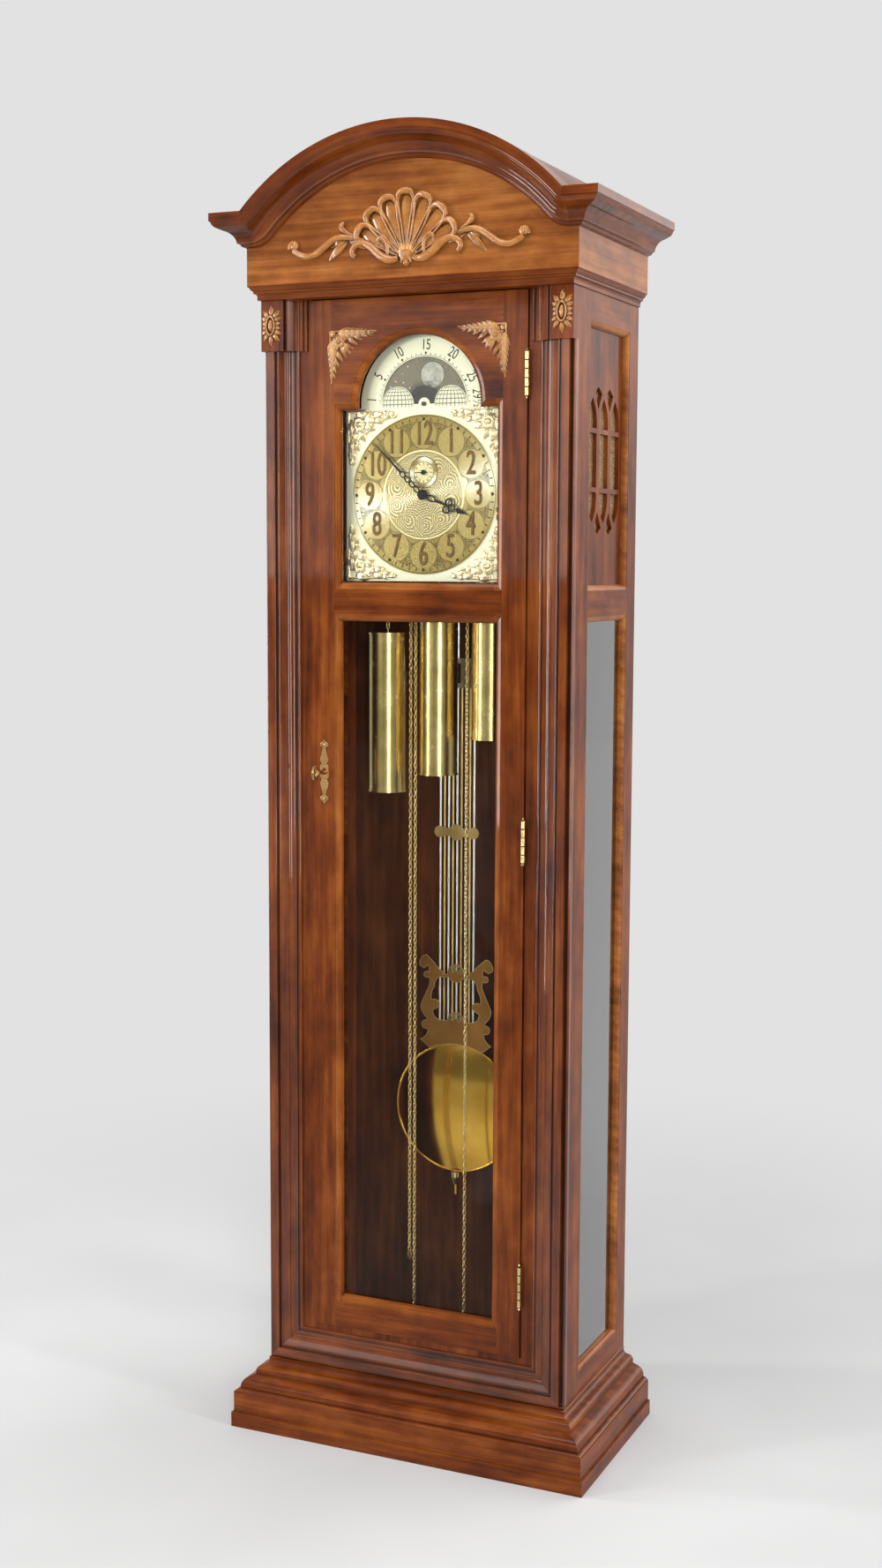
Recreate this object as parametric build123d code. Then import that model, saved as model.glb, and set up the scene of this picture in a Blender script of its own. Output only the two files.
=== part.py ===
"""Floor-standing longcase clock: arched bonnet, glazed door, moon dial, three weights and a lyre pendulum.

Millimetres. +Z is up, the front faces -Y, and the origin is the middle of the footprint on the floor.
"""
import os
from math import asin, cos, degrees, radians, sin, sqrt

from build123d import *

# Carcass: two framed sides, a face frame between them, a back panel and boards
case_half = 244.0
case_depth = 258.5
case_top = 1714.0
side_thick = 20.0
frame_thick = 18.0
frame_stile = 72.5
back_thick = 8.0
floor_thick = 18.0
floor_drop = 6.0

# Framed sides: stiles, rails, fret panel above and glass below
side_stile_front = 49.0
side_stile_back = 37.5
side_low_rail = 35.5
side_mid_rail = 37.0
side_top_rail = 40.0
side_bead = 8.0
side_bead_depth = 9.0
fret_thick = 6.0
cloth_thick = 1.0
glass_thick = 3.0
glass_play = 0.3

# Gothic fret: three lights between two cross bars, pointed lights and kites above and below
fret_pitch = 48.5
light_width = 35.0
light_height = 77.0
fret_bar = 7.0
fret_sink = 3.5
lancet_height = 43.0
lancet_bow = 6.0
kite_width = 30.0
kite_short = 10.0
kite_long = 23.0
kite_lift = 7.0

# Base: plinth strip, plinth board and stepped moulding, mitred round three sides
apron_thick = 10.0
strip_reach = 45.0
strip_height = 23.0
plinth_reach = 41.8
plinth_height = 32.5
base_cap = 48.5

# Picture-frame moulding on the face, and the capital blocks above it
mould_width = 54.0
mould_rise = 16.0
rail_reveal = 9.5
capital_reveal = 5.5
capital_rise = 20.0
capital_height = 73.0
rosette_width = 30.0
rosette_height = 62.0
rosette_rise = 4.0
rosette_petals = 12

# Bonnet: neck moulding, frieze and crown moulding with a segmental arch
neck_setback = 2.8
neck_ahead = 2.0
neck_reach = 16.0
neck_height = 20.0
frieze_height = 100.0
arch_rise = 108.0
knee_inset = 11.2
crown_reach = 40.5
crown_drop = 47.0
roof_thick = 5.0
roof_sink = 1.0

# Shell carving on the frieze
shell_lobes = 7
shell_up = 23.0
shell_radius = 98.0
shell_lobe = 13.5
shell_root = 5.0
shell_spread = 118.0
shell_rise = 9.0
scroll_reach = 187.0
scroll_width = 8.0
scroll_curl = 8.5
scroll_rise = 6.0

# Trunk door
door_gap = 1.5
door_proud = 3.5
door_thick = 20.0
door_stile = 36.5
door_low_rail = 39.5
door_mid_rail = 36.5
door_bead = 10.2
door_bead_depth = 10.5
dial_drop = 417.5
dial_sill = 12.0
shoulder_up = 2.0
arch_play = 6.0
carving_reach = 76.0
carving_rise = 4.0
carving_out = 4.5
carving_drop = 45.5

# Hinges, escutcheon, lock and key
hinge_low_inset = 109.0
hinge_high_inset = 115.5
hinge_height = 62.0
knuckle_radius = 3.0
knuckle_count = 5
knuckle_proud = 3.5
hinge_pin = 1.5
finial_height = 5.0
finial_radius = 2.4
leaf_thick = 0.5
leaf_depth = 14.0
shaft_play = 0.05
run_gap = 0.3
lock_inset = 20.3
lock_up = 855.0
escutcheon_height = 96.0
escutcheon_width = 14.0
escutcheon_thick = 1.5
key_shaft = 3.0
key_reach = 28.0
key_bow = 12.0
key_bow_hole = 6.0
key_thick = 3.0
lock_plate = 3.5
lock_width = 32.0
lock_length = 56.0
cam_length = 36.0
cam_width = 10.0
cam_thick = 3.0

# Dial
disc_radius = 115.0
disc_thick = 1.0
dial_margin = 10.0
dial_thick = 2.0
dial_neck = 5.0
dial_arch = 101.0
ring_radius = 63.0
ring_width = 1.2
ring_rise = 0.6
seconds_up = 32.0
seconds_radius = 21.7
moon_window = 67.5
moon_lap = 5.5
hump_radius = 25.5
moon_boss = 9.0
moon_thick = 0.8
moon_pin = 2.0
spandrel_reach = 78.0
spandrel_gap = 8.0
spandrel_inset = 2.0
spandrel_hole = 3.0
spandrel_rise = 2.5

# Hands, stacked between the disc and the glass
hand_thick = 1.0
hand_gap = 2.5
hand_glass_gap = 0.5
minute_length = 111.0
minute_angle = 314.6
minute_line = 1.8
minute_loops = 4
minute_loop = 3.4
minute_swell = 2.2
hour_length = 84.0
hour_angle = 112.5
hour_line = 2.0
hour_loop = 4.0
hour_ring = 6.2
hour_spear = 4.5
seconds_length = 13.0
seconds_angle = 268.0
seconds_line = 1.1
hand_point = 0.3
minute_arbor = 2.5
hour_pipe = 4.5
seconds_arbor = 1.2

# Movement on its seat board
seat_up = 45.0
seat_thick = 19.0
seat_front_lap = 18.0
seat_back_lap = 27.5
cleat_size = 20.0
plate_half = 90.0
plate_height = 200.0
plate_thick = 2.5
plate_gap = 62.0
pillar_radius = 4.0
pillar_inset = 9.0
post_length = 24.0
post_radius = 3.0
post_inset = 10.0
escape_radius = 15.0
escape_teeth = 30
escape_tooth = 0.7
escape_depth = 36.0
wheel_thick = 1.5
anchor_clear = 3.0
anchor_band = 4.0
anchor_half_angle = 52.0
pivot_rise = 6.0
lever_gap = 2.0
lever_drop = 27.7
lever_arm = 24.0
lever_width = 5.0
lever_thick = 1.5
lever_travel = 16.0
lever_reach = 4.5
chime_count = 5
chime_radius = 2.0
chime_pitch = 11.0
chime_long = 280.0
chime_step = 18.0
chime_up = 20.0
chime_block = 22.0

# Chain train: weights, chains and chain wheels
chain_depth = 30.0
chain_radius = 2.5
wheel_up = 40.0
wheel_pitch = 19.0
flange_lip = 3.0
wheel_gap = 2.0
wheel_width = 8.0
wheel_arbor = 3.0
weight_radius = 29.5
weight_length = 240.0
weight_lip = 1.2
weight_lip_width = 3.0
hook_height = 12.0
hook_radius = 3.5
hook_wire = 1.2
slot_play = 6.0
tag_length = 16.0
tag_width = 7.0
tag_thick = 1.6
left_hang = 91.0
centre_hang = 62.0
right_hang = 6.0
left_free_up = 178.0
centre_free_up = 89.0
right_free_up = 89.0

# Pendulum
pendulum_behind = 37.5
pendulum_length = 1000.0
bob_radius = 102.0
bob_dome = 12.0
bob_back = 6.0
bob_rim = 1.6
bob_flat = 0.6
spring_width = 10.0
spring_thick = 0.4
spring_up = 8.0
spring_down = 18.0
leader_radius = 2.5
crossbar_height = 46.0
crossbar_end = 3.0
crossbar_thick = 3.0
crossbar_slot = 10.0
crossbar_frame = 8.0
rod_count = 9
rod_pitch = 7.0
rod_radius = 1.6
rod_up = 10.0
rod_length = 544.0
brace_up = 310.0
brace_height = 25.0
lyre_height = 134.7
lyre_thick = 1.6
lyre_half = 65.0
lyre_band = 4.0
stud_radius = 2.0
stud_length = 36.5
nut_radius = 7.0
nut_height = 20.0
cock_width = 24.0
cock_thick = 12.0
crutch_radius = 2.5

# Depths worked out from those above: the footprint's middle is at y = 0
crown_ahead = capital_rise + neck_ahead + neck_reach + crown_reach
case_back = (case_depth + crown_ahead) / 2
case_front = case_back - case_depth
frame_back = case_front + frame_thick
back_inner = case_back - back_thick
base_front = case_front - apron_thick
opening_front = case_front + side_stile_front
opening_back = case_back - side_stile_back
neck_front = case_front - capital_rise - neck_ahead
frieze_front = neck_front - neck_reach
door_front = case_front - door_proud
door_back = door_front + door_thick
glass_front = door_front + door_bead_depth
minute_y = glass_front + glass_thick + hand_glass_gap + 2 * hand_thick
hour_y = minute_y + hand_gap + hand_thick
seconds_y = hour_y + hand_gap
dial_y = seconds_y + hand_gap + disc_thick
dial_back = dial_y + dial_thick
plate_front = dial_back + post_length
plate_back = plate_front + plate_gap
rear_of_plates = plate_back + plate_thick
escape_y = plate_front + escape_depth
chain_y = plate_front + chain_depth
pendulum_y = rear_of_plates + pendulum_behind

# Widths
side_inner = case_half - side_thick
panel_face = case_half - side_bead_depth
frame_edge = case_half - frame_stile
capital_width = frame_stile - capital_reveal
door_half = frame_edge - door_gap
door_light_half = door_half - door_stile
neck_half = case_half - neck_setback
frieze_half = neck_half + neck_reach
knee_half = frieze_half - knee_inset
arch_radius = (knee_half**2 + arch_rise**2) / (2 * arch_rise)
knee_turn = degrees(asin(knee_half / arch_radius))
arch_light = dial_arch + arch_play
hinge_x = door_half + door_gap / 2
hinge_y = door_front - knuckle_proud
lock_x = -door_half + lock_inset
dial_half = disc_radius + dial_margin
moon_radius = moon_window + moon_lap
lever_x = disc_radius + lever_gap
post_x = plate_half - post_inset
wheel_flange = wheel_pitch + flange_lip
chain_groove = wheel_pitch - chain_radius - run_gap
outer_wheel = wheel_pitch + 2 * wheel_flange + wheel_gap
crossbar_half = rod_pitch * (rod_count - 1) / 2 + crossbar_end

# Heights
plinth_top = strip_height + plinth_height
base_top = plinth_top + base_cap
floor_top = base_top - floor_drop
rail_top = base_top + mould_width + rail_reveal
door_low = rail_top + door_gap
door_high = case_top - door_gap
capital_low = case_top - capital_height
frieze_low = case_top + neck_height
eave_height = frieze_low + frieze_height
peak_height = eave_height + arch_rise
arch_centre = peak_height - arch_radius
shell_low = frieze_low + shell_up
trunk_light_low = door_low + door_low_rail
dial_light_low = door_high - dial_drop
trunk_light_high = dial_light_low - door_mid_rail
dial_low = dial_light_low + dial_sill
dial_high = dial_low + 2 * dial_half
hands_z = dial_low + dial_half
seconds_z = hands_z + seconds_up
arch_spring = dial_high + dial_neck
dial_shoulder = arch_spring + shoulder_up
side_glass_low = base_top + side_low_rail
side_glass_high = dial_light_low - side_mid_rail
fret_low = dial_light_low
fret_high = case_top - side_top_rail
lock_height = door_low + lock_up
hinge_low = door_low + hinge_low_inset
hinge_high = door_high - hinge_high_inset
hinge_heights = (hinge_low, (hinge_low + hinge_high) / 2, hinge_high)
lever_z = hands_z - lever_drop
seat_top = dial_low + seat_up
seat_low = seat_top - seat_thick
plate_top = seat_top + plate_height
wheel_height = seat_top + wheel_up
chime_height = seat_top + chime_up
pendulum_pivot = seconds_z + escape_radius + anchor_clear + pivot_rise
bob_height = pendulum_pivot - pendulum_length
bob_half = bob_radius - bob_flat
rod_low = bob_height + bob_radius + rod_up
crossbar_low = rod_low + rod_length
brace_low = rod_low + brace_up
lyre_low = bob_height + bob_radius + run_gap
seat_front = plate_front - seat_front_lap
seat_back = rear_of_plates + seat_back_lap
beyond = 2 * peak_height

# Each train: its wheel's place, the side its weight hangs on, and how far weight and free end hang
TRAINS = {
    "left": {"wheel": -outer_wheel, "load": -1, "hang": left_hang, "free_up": left_free_up},
    "centre": {"wheel": -wheel_pitch, "load": 1, "hang": centre_hang, "free_up": centre_free_up},
    "right": {"wheel": outer_wheel, "load": 1, "hang": right_hang, "free_up": right_free_up},
}


def board(x0, x1, y0, y1, z0, z1):
    """A plain plank between two corners."""
    return Pos((x0 + x1) / 2, (y0 + y1) / 2, (z0 + z1) / 2) * Box(x1 - x0, y1 - y0, z1 - z0)


def outline(*corners):
    """A closed flat shape; a corner's third value bows the side that ends there."""
    edges = []
    for before, corner in zip((corners[-1],) + corners[:-1], corners):
        start, end = before[:2], corner[:2]
        bow = corner[2] if len(corner) > 2 else 0
        edges.append(SagittaArc(start, end, bow) if bow else Line(start, end))
    return make_face([edge.edge() for edge in edges])


def facing(y):
    """Drawing plane seen from the front, as x and z, growing towards the viewer."""
    return Plane(origin=(0, y, 0), x_dir=(1, 0, 0), z_dir=(0, -1, 0))


def sideways(x):
    """Drawing plane seen from the right, as y and z, growing to the right."""
    return Plane(origin=(x, 0, 0), x_dir=(0, 1, 0), z_dir=(1, 0, 0))


def plate(shape, y, thick):
    """A flat piece cut to a front-view shape, its front face at y."""
    return extrude(facing(y + thick) * shape, amount=thick)


def rod(x, y, z0, z1, radius):
    """An upright round bar."""
    return Pos(x, y, (z0 + z1) / 2) * Cylinder(radius, z1 - z0)


def spindle(x, z, y0, y1, radius):
    """A round bar running from front to back."""
    return Pos(x, (y0 + y1) / 2, z) * Rot(90, 0, 0) * Cylinder(radius, y1 - y0)


def both_sides(*pieces):
    """The pieces and their mirror images across the clock's middle."""
    return [*pieces, *(mirror(piece, about=Plane.YZ) for piece in pieces)]


def save(name, *pieces):
    """Write one sub-part, a group of separate solids where it has several."""
    solids = [solid for piece in pieces for solid in piece.solids()]
    export_step(Compound(solids) if len(solids) > 1 else solids[0], f"parts/{name}.step")


def mitred_run(profile, half, front, reach):
    """A moulding drawn as projection and height, run along the front and both sides and mitred."""
    across = Plane(origin=(0, front, 0), x_dir=(0, -1, 0), z_dir=(-1, 0, 0))
    along = Plane(origin=(-half, front - reach, 0), x_dir=(-1, 0, 0), z_dir=(0, 1, 0))
    outer, ahead = half + reach, front - reach
    front_plan = outline((-half, front), (-outer, ahead), (outer, ahead), (half, front))
    side_plan = outline((-half, front), (-half, case_back), (-outer, case_back), (-outer, ahead))
    front_run = extrude(across * profile, amount=outer, both=True)
    side_run = extrude(along * profile, amount=case_back - ahead)
    front_piece = front_run & extrude(front_plan, amount=beyond, both=True)
    side_piece = side_run & extrude(side_plan, amount=beyond, both=True)
    return [front_piece, *both_sides(side_piece)]


def bead_ring(shape_at, depth, steps, place):
    """A bead round an opening: the wall between the opening and a cutter that narrows in steps."""
    ring = extrude(place * shape_at(0), amount=-depth)
    for (inset, deep), (next_inset, next_deep) in zip(steps, steps[1:]):
        if deep == next_deep:
            continue
        upper = place.offset(-deep) * shape_at(inset)
        lower = place.offset(-next_deep) * shape_at(next_inset)
        ring -= loft([upper.face(), lower.face()], ruled=True)
    return ring


def bead_steps(width, depth):
    """An ovolo between two fillets: pairs of inset and depth, from the face to the back."""
    bow, fall = width * 0.86, depth * 0.62
    fillet = width - bow
    quarter = [(fillet / 2 + bow * sin(a), fillet / 2 + fall * (1 - cos(a))) for a in
               (radians(turn) for turn in (0, 30, 60, 90))]
    return [(fillet / 2, 0), *quarter, (width, quarter[-1][1]), (width, depth)]


# Base and carcass


def plinth_strip():
    profile = outline((0, 0), (strip_reach, 0), (strip_reach, strip_height), (0, strip_height))
    return mitred_run(profile, case_half, base_front, strip_reach)


def base_moulding():
    """Plinth board and, above it, two rounds, a hollow and fillets as one stepped moulding."""
    step = (base_top - plinth_top) / 12
    reach = plinth_reach / 12
    board_profile = outline((0, strip_height), (plinth_reach, strip_height), (plinth_reach, plinth_top),
                            (0, plinth_top))
    cap_profile = outline(
        (0, plinth_top), (11.6 * reach, plinth_top), (9.7 * reach, plinth_top + step, -step / 3),
        (6.5 * reach, plinth_top + 5.2 * step, -step), (4.7 * reach, plinth_top + 5.8 * step),
        (4.7 * reach, plinth_top + 6.8 * step), (2.1 * reach, plinth_top + 9 * step, -step * 0.7),
        (1.2 * reach, plinth_top + 9.3 * step), (0.4 * reach, base_top - step / 3, step * 0.5),
        (0, base_top))
    boards = mitred_run(board_profile, case_half, base_front, plinth_reach)
    return boards + mitred_run(cap_profile, case_half, base_front, plinth_reach)


def side_opening(low, high):
    """Maker of the outline of an opening in a side frame, shrunk by an inset."""
    def shape(inset):
        width = opening_back - opening_front - 2 * inset
        height = high - low - 2 * inset
        return Pos((opening_back + opening_front) / 2, (high + low) / 2) * Rectangle(width, height)
    return shape


def side_frames():
    """Two stiles and three rails on each side."""
    stiles = [board(side_inner, case_half, case_front, opening_front, 0, case_top),
              board(side_inner, case_half, opening_back, case_back, 0, case_top)]
    rails = [board(side_inner, case_half, opening_front, opening_back, low, high)
             for low, high in ((0, side_glass_low), (side_glass_high, fret_low), (fret_high, case_top))]
    return both_sides(*stiles, *rails)


def side_beads():
    """Mitred beads that hold the glass and the fret in each side frame."""
    steps = bead_steps(side_bead, side_bead_depth)
    beads = [bead_ring(side_opening(low, high), side_bead_depth, steps, sideways(case_half))
             for low, high in ((side_glass_low, side_glass_high), (fret_low, fret_high))]
    return both_sides(*beads)


def fret_shapes():
    """Openings of the gothic fret, symmetric up and down."""
    middle_y = (opening_front + opening_back) / 2
    middle_z = (fret_low + fret_high) / 2 - fret_sink
    half, wide = light_height / 2, light_width / 2
    lancet = outline((-wide, 0, -lancet_bow), (wide, 0), (0, lancet_height, -lancet_bow))
    kite = outline((-kite_width / 2, 0), (0, -kite_long), (kite_width / 2, 0), (0, kite_short))
    upper = []
    for column in (-1, 0, 1):
        upper.append(Pos(column * fret_pitch, half + fret_bar) * lancet)
    for column in (-0.5, 0.5):
        upper.append(Pos(column * fret_pitch, half + fret_bar + lancet_height + kite_lift) * kite)
    lights = [Pos(column * fret_pitch, 0) * Rectangle(light_width, light_height) for column in (-1, 0, 1)]
    shapes = lights + upper + [mirror(shape, about=Plane.XZ) for shape in upper]
    return [Pos(middle_y, middle_z) * shape for shape in shapes]


def panel_in(low, high, thick, outer):
    """A sheet that fills a side opening behind its bead."""
    return board(outer - thick, outer, opening_front, opening_back, low, high)


def fret_panel():
    panel = panel_in(fret_low, fret_high, fret_thick, panel_face)
    for shape in fret_shapes():
        panel -= extrude(sideways(panel_face) * shape, amount=-fret_thick)
    return both_sides(panel)


def grille_cloth():
    return both_sides(panel_in(fret_low, fret_high, cloth_thick, panel_face - fret_thick))


def side_glass():
    return both_sides(panel_in(side_glass_low, side_glass_high, glass_thick, panel_face))


def back_panel():
    """Trunk back between the sides, and the arched piece that closes the bonnet."""
    trunk = board(-side_inner, side_inner, back_inner, case_back, 0, case_top)
    inner = arch_radius - roof_sink - roof_thick
    dome = spindle(0, arch_centre, back_inner, case_back, inner)
    attic = board(-neck_half, neck_half, back_inner, case_back, frieze_low, peak_height) & dome
    return [trunk, attic]


def face_frame():
    """Stiles and bottom rail behind the moulding, and the apron board that carries the base."""
    stile = board(frame_edge, side_inner, case_front, frame_back, 0, case_top)
    rail = board(-frame_edge, frame_edge, case_front, frame_back, 0, rail_top)
    apron = board(-case_half, case_half, base_front, case_front, 0, base_top)
    return both_sides(stile) + [rail, apron]


def floor_board():
    return board(-side_inner, side_inner, frame_back, back_inner, floor_top - floor_thick, floor_top)


def stepped_edge(start, step, lift):
    """Inner part of the face moulding from the flat inwards: quirk, bead, slope, hollow and bead."""
    return (
        (start, 10 * lift), (start + 0.6 * step, 9 * lift, step * 0.2), (start + 0.6 * step, 7 * lift),
        (start + 1.3 * step, 7 * lift), (start + 2 * step, 7.6 * lift, step * 0.4),
        (start + 3.6 * step, 5.6 * lift), (start + 4.2 * step, 5.6 * lift),
        (start + 6.3 * step, 2.5 * lift, -step * 0.5), (start + 6.8 * step, 2.5 * lift),
        (start + 6.8 * step, 1.4 * lift), (start + 7.4 * step, 1.4 * lift),
        (start + 8.4 * step, 1.4 * lift, step * 0.5), (start + 8.4 * step, 0))


def moulding_profile():
    """Outer bead, quirk and flat, then the stepped inner edge, as width and rise."""
    step, lift = mould_width / 12, mould_rise / 10
    flat = mould_width - 10 * step
    return outline(
        (0, 0), (0, 4 * lift), (step, 5 * lift, step * 0.4), (1.2 * step, 3 * lift), (1.6 * step, 3 * lift),
        (1.6 * step, 10 * lift), *stepped_edge(1.6 * step + flat, step, lift))


def capital_profile():
    """Broad flat from the outer edge, then the same stepped edge, as width and rise."""
    step, lift = capital_width / 16.8, capital_rise / 10
    return outline((0, 0), (0, 10 * lift), *stepped_edge(8.4 * step, step, lift))


def front_moulding():
    """Two uprights and a bottom run of one profile, mitred at the lower corners."""
    profile = moulding_profile()
    inner = case_half - mould_width
    upright_plane = Plane(origin=(-case_half, case_front, base_top), x_dir=(1, 0, 0), z_dir=(0, 0, -1))
    bottom_plane = Plane(origin=(case_half, case_front, base_top), x_dir=(0, 0, 1), z_dir=(1, 0, 0))
    upright = extrude(upright_plane * profile, amount=base_top - capital_low)
    bottom = extrude(bottom_plane * profile, amount=-2 * case_half)
    corner = outline((-case_half, base_top), (-inner, base_top + mould_width), (-inner, capital_low),
                     (-case_half, capital_low))
    base = outline((-case_half, base_top), (case_half, base_top), (inner, base_top + mould_width),
                   (-inner, base_top + mould_width))
    upright &= plate(corner, case_front - mould_rise, mould_rise)
    bottom &= plate(base, case_front - mould_rise, mould_rise)
    return both_sides(upright) + [bottom]


def capital_blocks():
    profile = capital_profile()
    plane = Plane(origin=(-case_half, case_front, capital_low), x_dir=(1, 0, 0), z_dir=(0, 0, -1))
    return both_sides(extrude(plane * profile, amount=capital_low - case_top))


def capital_rosettes():
    """Oval sunflower with pointed petals on the flat of each capital block."""
    x = -case_half + capital_width / 4
    z = (capital_low + case_top) / 2
    long_half, wide_half = rosette_height / 2, rosette_width / 2
    flower = Ellipse(wide_half * 0.62, long_half * 0.66)
    for turn in range(rosette_petals):
        angle = radians(turn * 360 / rosette_petals)
        tip = (wide_half * sin(angle), long_half * cos(angle))
        spread = radians(180 / rosette_petals)
        left = (wide_half * 0.6 * sin(angle - spread), long_half * 0.6 * cos(angle - spread))
        right = (wide_half * 0.6 * sin(angle + spread), long_half * 0.6 * cos(angle + spread))
        flower += outline((0, 0), left, tip, right)
    face_y = case_front - capital_rise
    body = plate(Pos(x, z) * flower, face_y - rosette_rise / 2, rosette_rise / 2)
    heart = Pos(x, z) * Ellipse(wide_half * 0.36, long_half * 0.4)
    body += plate(heart, face_y - rosette_rise, rosette_rise)
    return both_sides(body)


# Bonnet


def neck_moulding():
    rise, reach = neck_height / 10, neck_reach / 10
    profile = outline(
        (0, case_top), (3.2 * reach, case_top), (3.2 * reach, case_top + 2.4 * rise),
        (4.4 * reach, case_top + 4.2 * rise, reach * 0.3), (6 * reach, case_top + 4.6 * rise),
        (6 * reach, case_top + 6.2 * rise), (7.6 * reach, case_top + 7.2 * rise, -reach * 0.3),
        (8.2 * reach, case_top + 7.6 * rise), (neck_reach, case_top + 9.2 * rise, reach * 0.4),
        (neck_reach, frieze_low), (0, frieze_low))
    return mitred_run(profile, neck_half, neck_front, neck_reach)


def top_board():
    return board(-neck_half, neck_half, neck_front, case_back, case_top, frieze_low)


def frieze_boards():
    """Arched front board and two straight side boards, standing on the neck moulding."""
    front = outline((-frieze_half, frieze_low), (frieze_half, frieze_low), (frieze_half, eave_height),
                    (knee_half, eave_height), (-knee_half, eave_height, -arch_rise),
                    (-frieze_half, eave_height))
    side = board(neck_half, frieze_half, neck_front, case_back, frieze_low, eave_height)
    return [plate(front, frieze_front, neck_reach)] + both_sides(side)


def crown_profile():
    """Fascia, round, slope, hollow and bead, as projection from the frieze and drop from the top edge."""
    out, drop = crown_reach / 10, crown_drop / 10
    return outline(
        (0, 0), (0, -crown_drop), (0.6 * out, -9.7 * drop), (1.7 * out, -8.9 * drop, -out * 0.25),
        (2.6 * out, -8.6 * drop), (6.2 * out, -5 * drop, out * 0.9), (8 * out, -4.3 * drop),
        (9.5 * out, -2.7 * drop, -out * 0.3), (crown_reach, -2.4 * drop), (crown_reach, 0))


def crown_front():
    """Eaves, a turn about each knee and the arch, one profile all along and mitred at the corners."""
    profile = crown_profile()
    outer = frieze_half + crown_reach
    ahead = frieze_front - crown_reach
    knee = (-knee_half, 0, eave_height)
    across = Plane(origin=(-knee_half, frieze_front, eave_height), x_dir=(0, -1, 0), z_dir=(-1, 0, 0))
    start = across * profile
    mitre = outline((-frieze_half, frieze_front), (-outer, ahead), (0, ahead), (0, frieze_front))
    eave = extrude(start, amount=outer - knee_half) & extrude(mitre, amount=beyond, both=True)
    turn = revolve(start, axis=Axis(knee, (0, -1, 0)), revolution_arc=knee_turn)
    arch_start = start.rotate(Axis(knee, (0, -1, 0)), knee_turn)
    arch = revolve(arch_start, axis=Axis((0, 0, arch_centre), (0, 1, 0)), revolution_arc=2 * knee_turn)
    return both_sides(eave, turn) + [arch]


def crown_moulding():
    straight = Pos(0, eave_height) * crown_profile()
    sides = mitred_run(straight, frieze_half, frieze_front, crown_reach)[1:]
    return crown_front() + sides


def bonnet_roof():
    """Thin bent sheet behind the arch, resting on the side boards of the frieze."""
    outer = spindle(0, arch_centre, neck_front, case_back, arch_radius - roof_sink)
    inner = spindle(0, arch_centre, neck_front, case_back, arch_radius - roof_sink - roof_thick)
    above_eaves = board(-frieze_half, frieze_half, neck_front, case_back, eave_height, peak_height)
    return (outer - inner) & above_eaves


def scroll_arm():
    """Left scrolls of the shell: a leafy curl under the fan, then a long S with a leaf, a bud and a curl."""
    def spot(across, up):
        return (-scroll_reach * across, shell_low + shell_radius * up)
    bow = shell_radius / 10
    under = trace([SagittaArc(spot(0.03, 0.06), spot(0.24, 0.2), bow),
                   SagittaArc(spot(0.24, 0.2), spot(0.44, 0.2), -bow)], scroll_width)
    arm = trace([SagittaArc(spot(0.34, 0.3), spot(0.58, 0.4), -bow / 3),
                 SagittaArc(spot(0.58, 0.4), spot(0.94, 0.3), 1.4 * bow)], scroll_width)
    leaf = outline((*spot(0.5, 0.4), bow / 2), (*spot(0.64, 0.12), bow / 2), spot(0.57, 0.36))
    shape = under + arm + leaf + trace([Line(spot(0.42, 0.36), spot(0.55, 0.5))], scroll_width / 2)
    for across, up, share in ((0.44, 0.18, 0.7), (0.955, 0.36, 1), (0.555, 0.52, 0.7), (0.08, 0.17, 0.8)):
        shape += Pos(*spot(across, up)) * Circle(scroll_curl * share)
    return shape


def shell_carving():
    """Fan of round-ended lobes above a scrolled root, with leafy arms on both sides."""
    fan = Pos(0, shell_low + shell_root) * Circle(2 * shell_root)
    for lobe in range(shell_lobes):
        turn = -shell_spread / 2 + shell_spread * lobe / (shell_lobes - 1)
        reach = shell_radius - shell_lobe
        blade = outline((-shell_root, 0), (shell_root, 0), (shell_lobe, reach), (-shell_lobe, reach))
        blade += Pos(0, reach) * Circle(shell_lobe)
        fan += Pos(0, shell_low) * Rot(0, 0, -turn) * blade
    body = plate(fan, frieze_front - shell_rise, shell_rise)
    for piece in both_sides(plate(scroll_arm(), frieze_front - scroll_rise, scroll_rise)):
        body += piece
    return body


# Door


def dial_opening(inset):
    """Outline of the arched light, shrunk by an inset."""
    half, low, shoulder = door_light_half - inset, dial_light_low + inset, dial_shoulder - inset
    radius = arch_light - inset
    lift = shoulder - arch_spring
    foot = sqrt(radius**2 - lift**2)
    return outline((-half, low), (half, low), (half, shoulder), (foot, shoulder),
                   (-foot, shoulder, -(radius - lift)), (-half, shoulder))


def trunk_opening(inset):
    """Outline of the tall light, shrunk by an inset."""
    return Pos(0, (trunk_light_low + trunk_light_high) / 2) * Rectangle(
        2 * (door_light_half - inset), trunk_light_high - trunk_light_low - 2 * inset)


def door_stiles():
    right = board(door_light_half, door_half, door_front, door_back, door_low, door_high)
    left = board(-door_half, -door_light_half, door_front, door_back, door_low, door_high)
    left -= spindle(lock_x, lock_height, door_front, door_back, key_shaft + shaft_play)
    return [right, left]


def door_rails():
    """Bottom and middle rails, and the top rail cut to the dial arch."""
    bottom, middle, top = (
        board(-door_light_half, door_light_half, door_front, door_back, low, high)
        for low, high in ((door_low, trunk_light_low), (trunk_light_high, dial_light_low),
                          (dial_shoulder, door_high)))
    top -= extrude(facing(door_back) * dial_opening(0), amount=door_thick)
    return [bottom, middle, top]


def door_beads():
    steps = bead_steps(door_bead, door_bead_depth)
    return [bead_ring(shape, door_bead_depth, steps, facing(door_front))
            for shape in (trunk_opening, dial_opening)]


def door_glass():
    return [plate(shape(glass_play), glass_front, glass_thick) for shape in (trunk_opening, dial_opening)]


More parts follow.
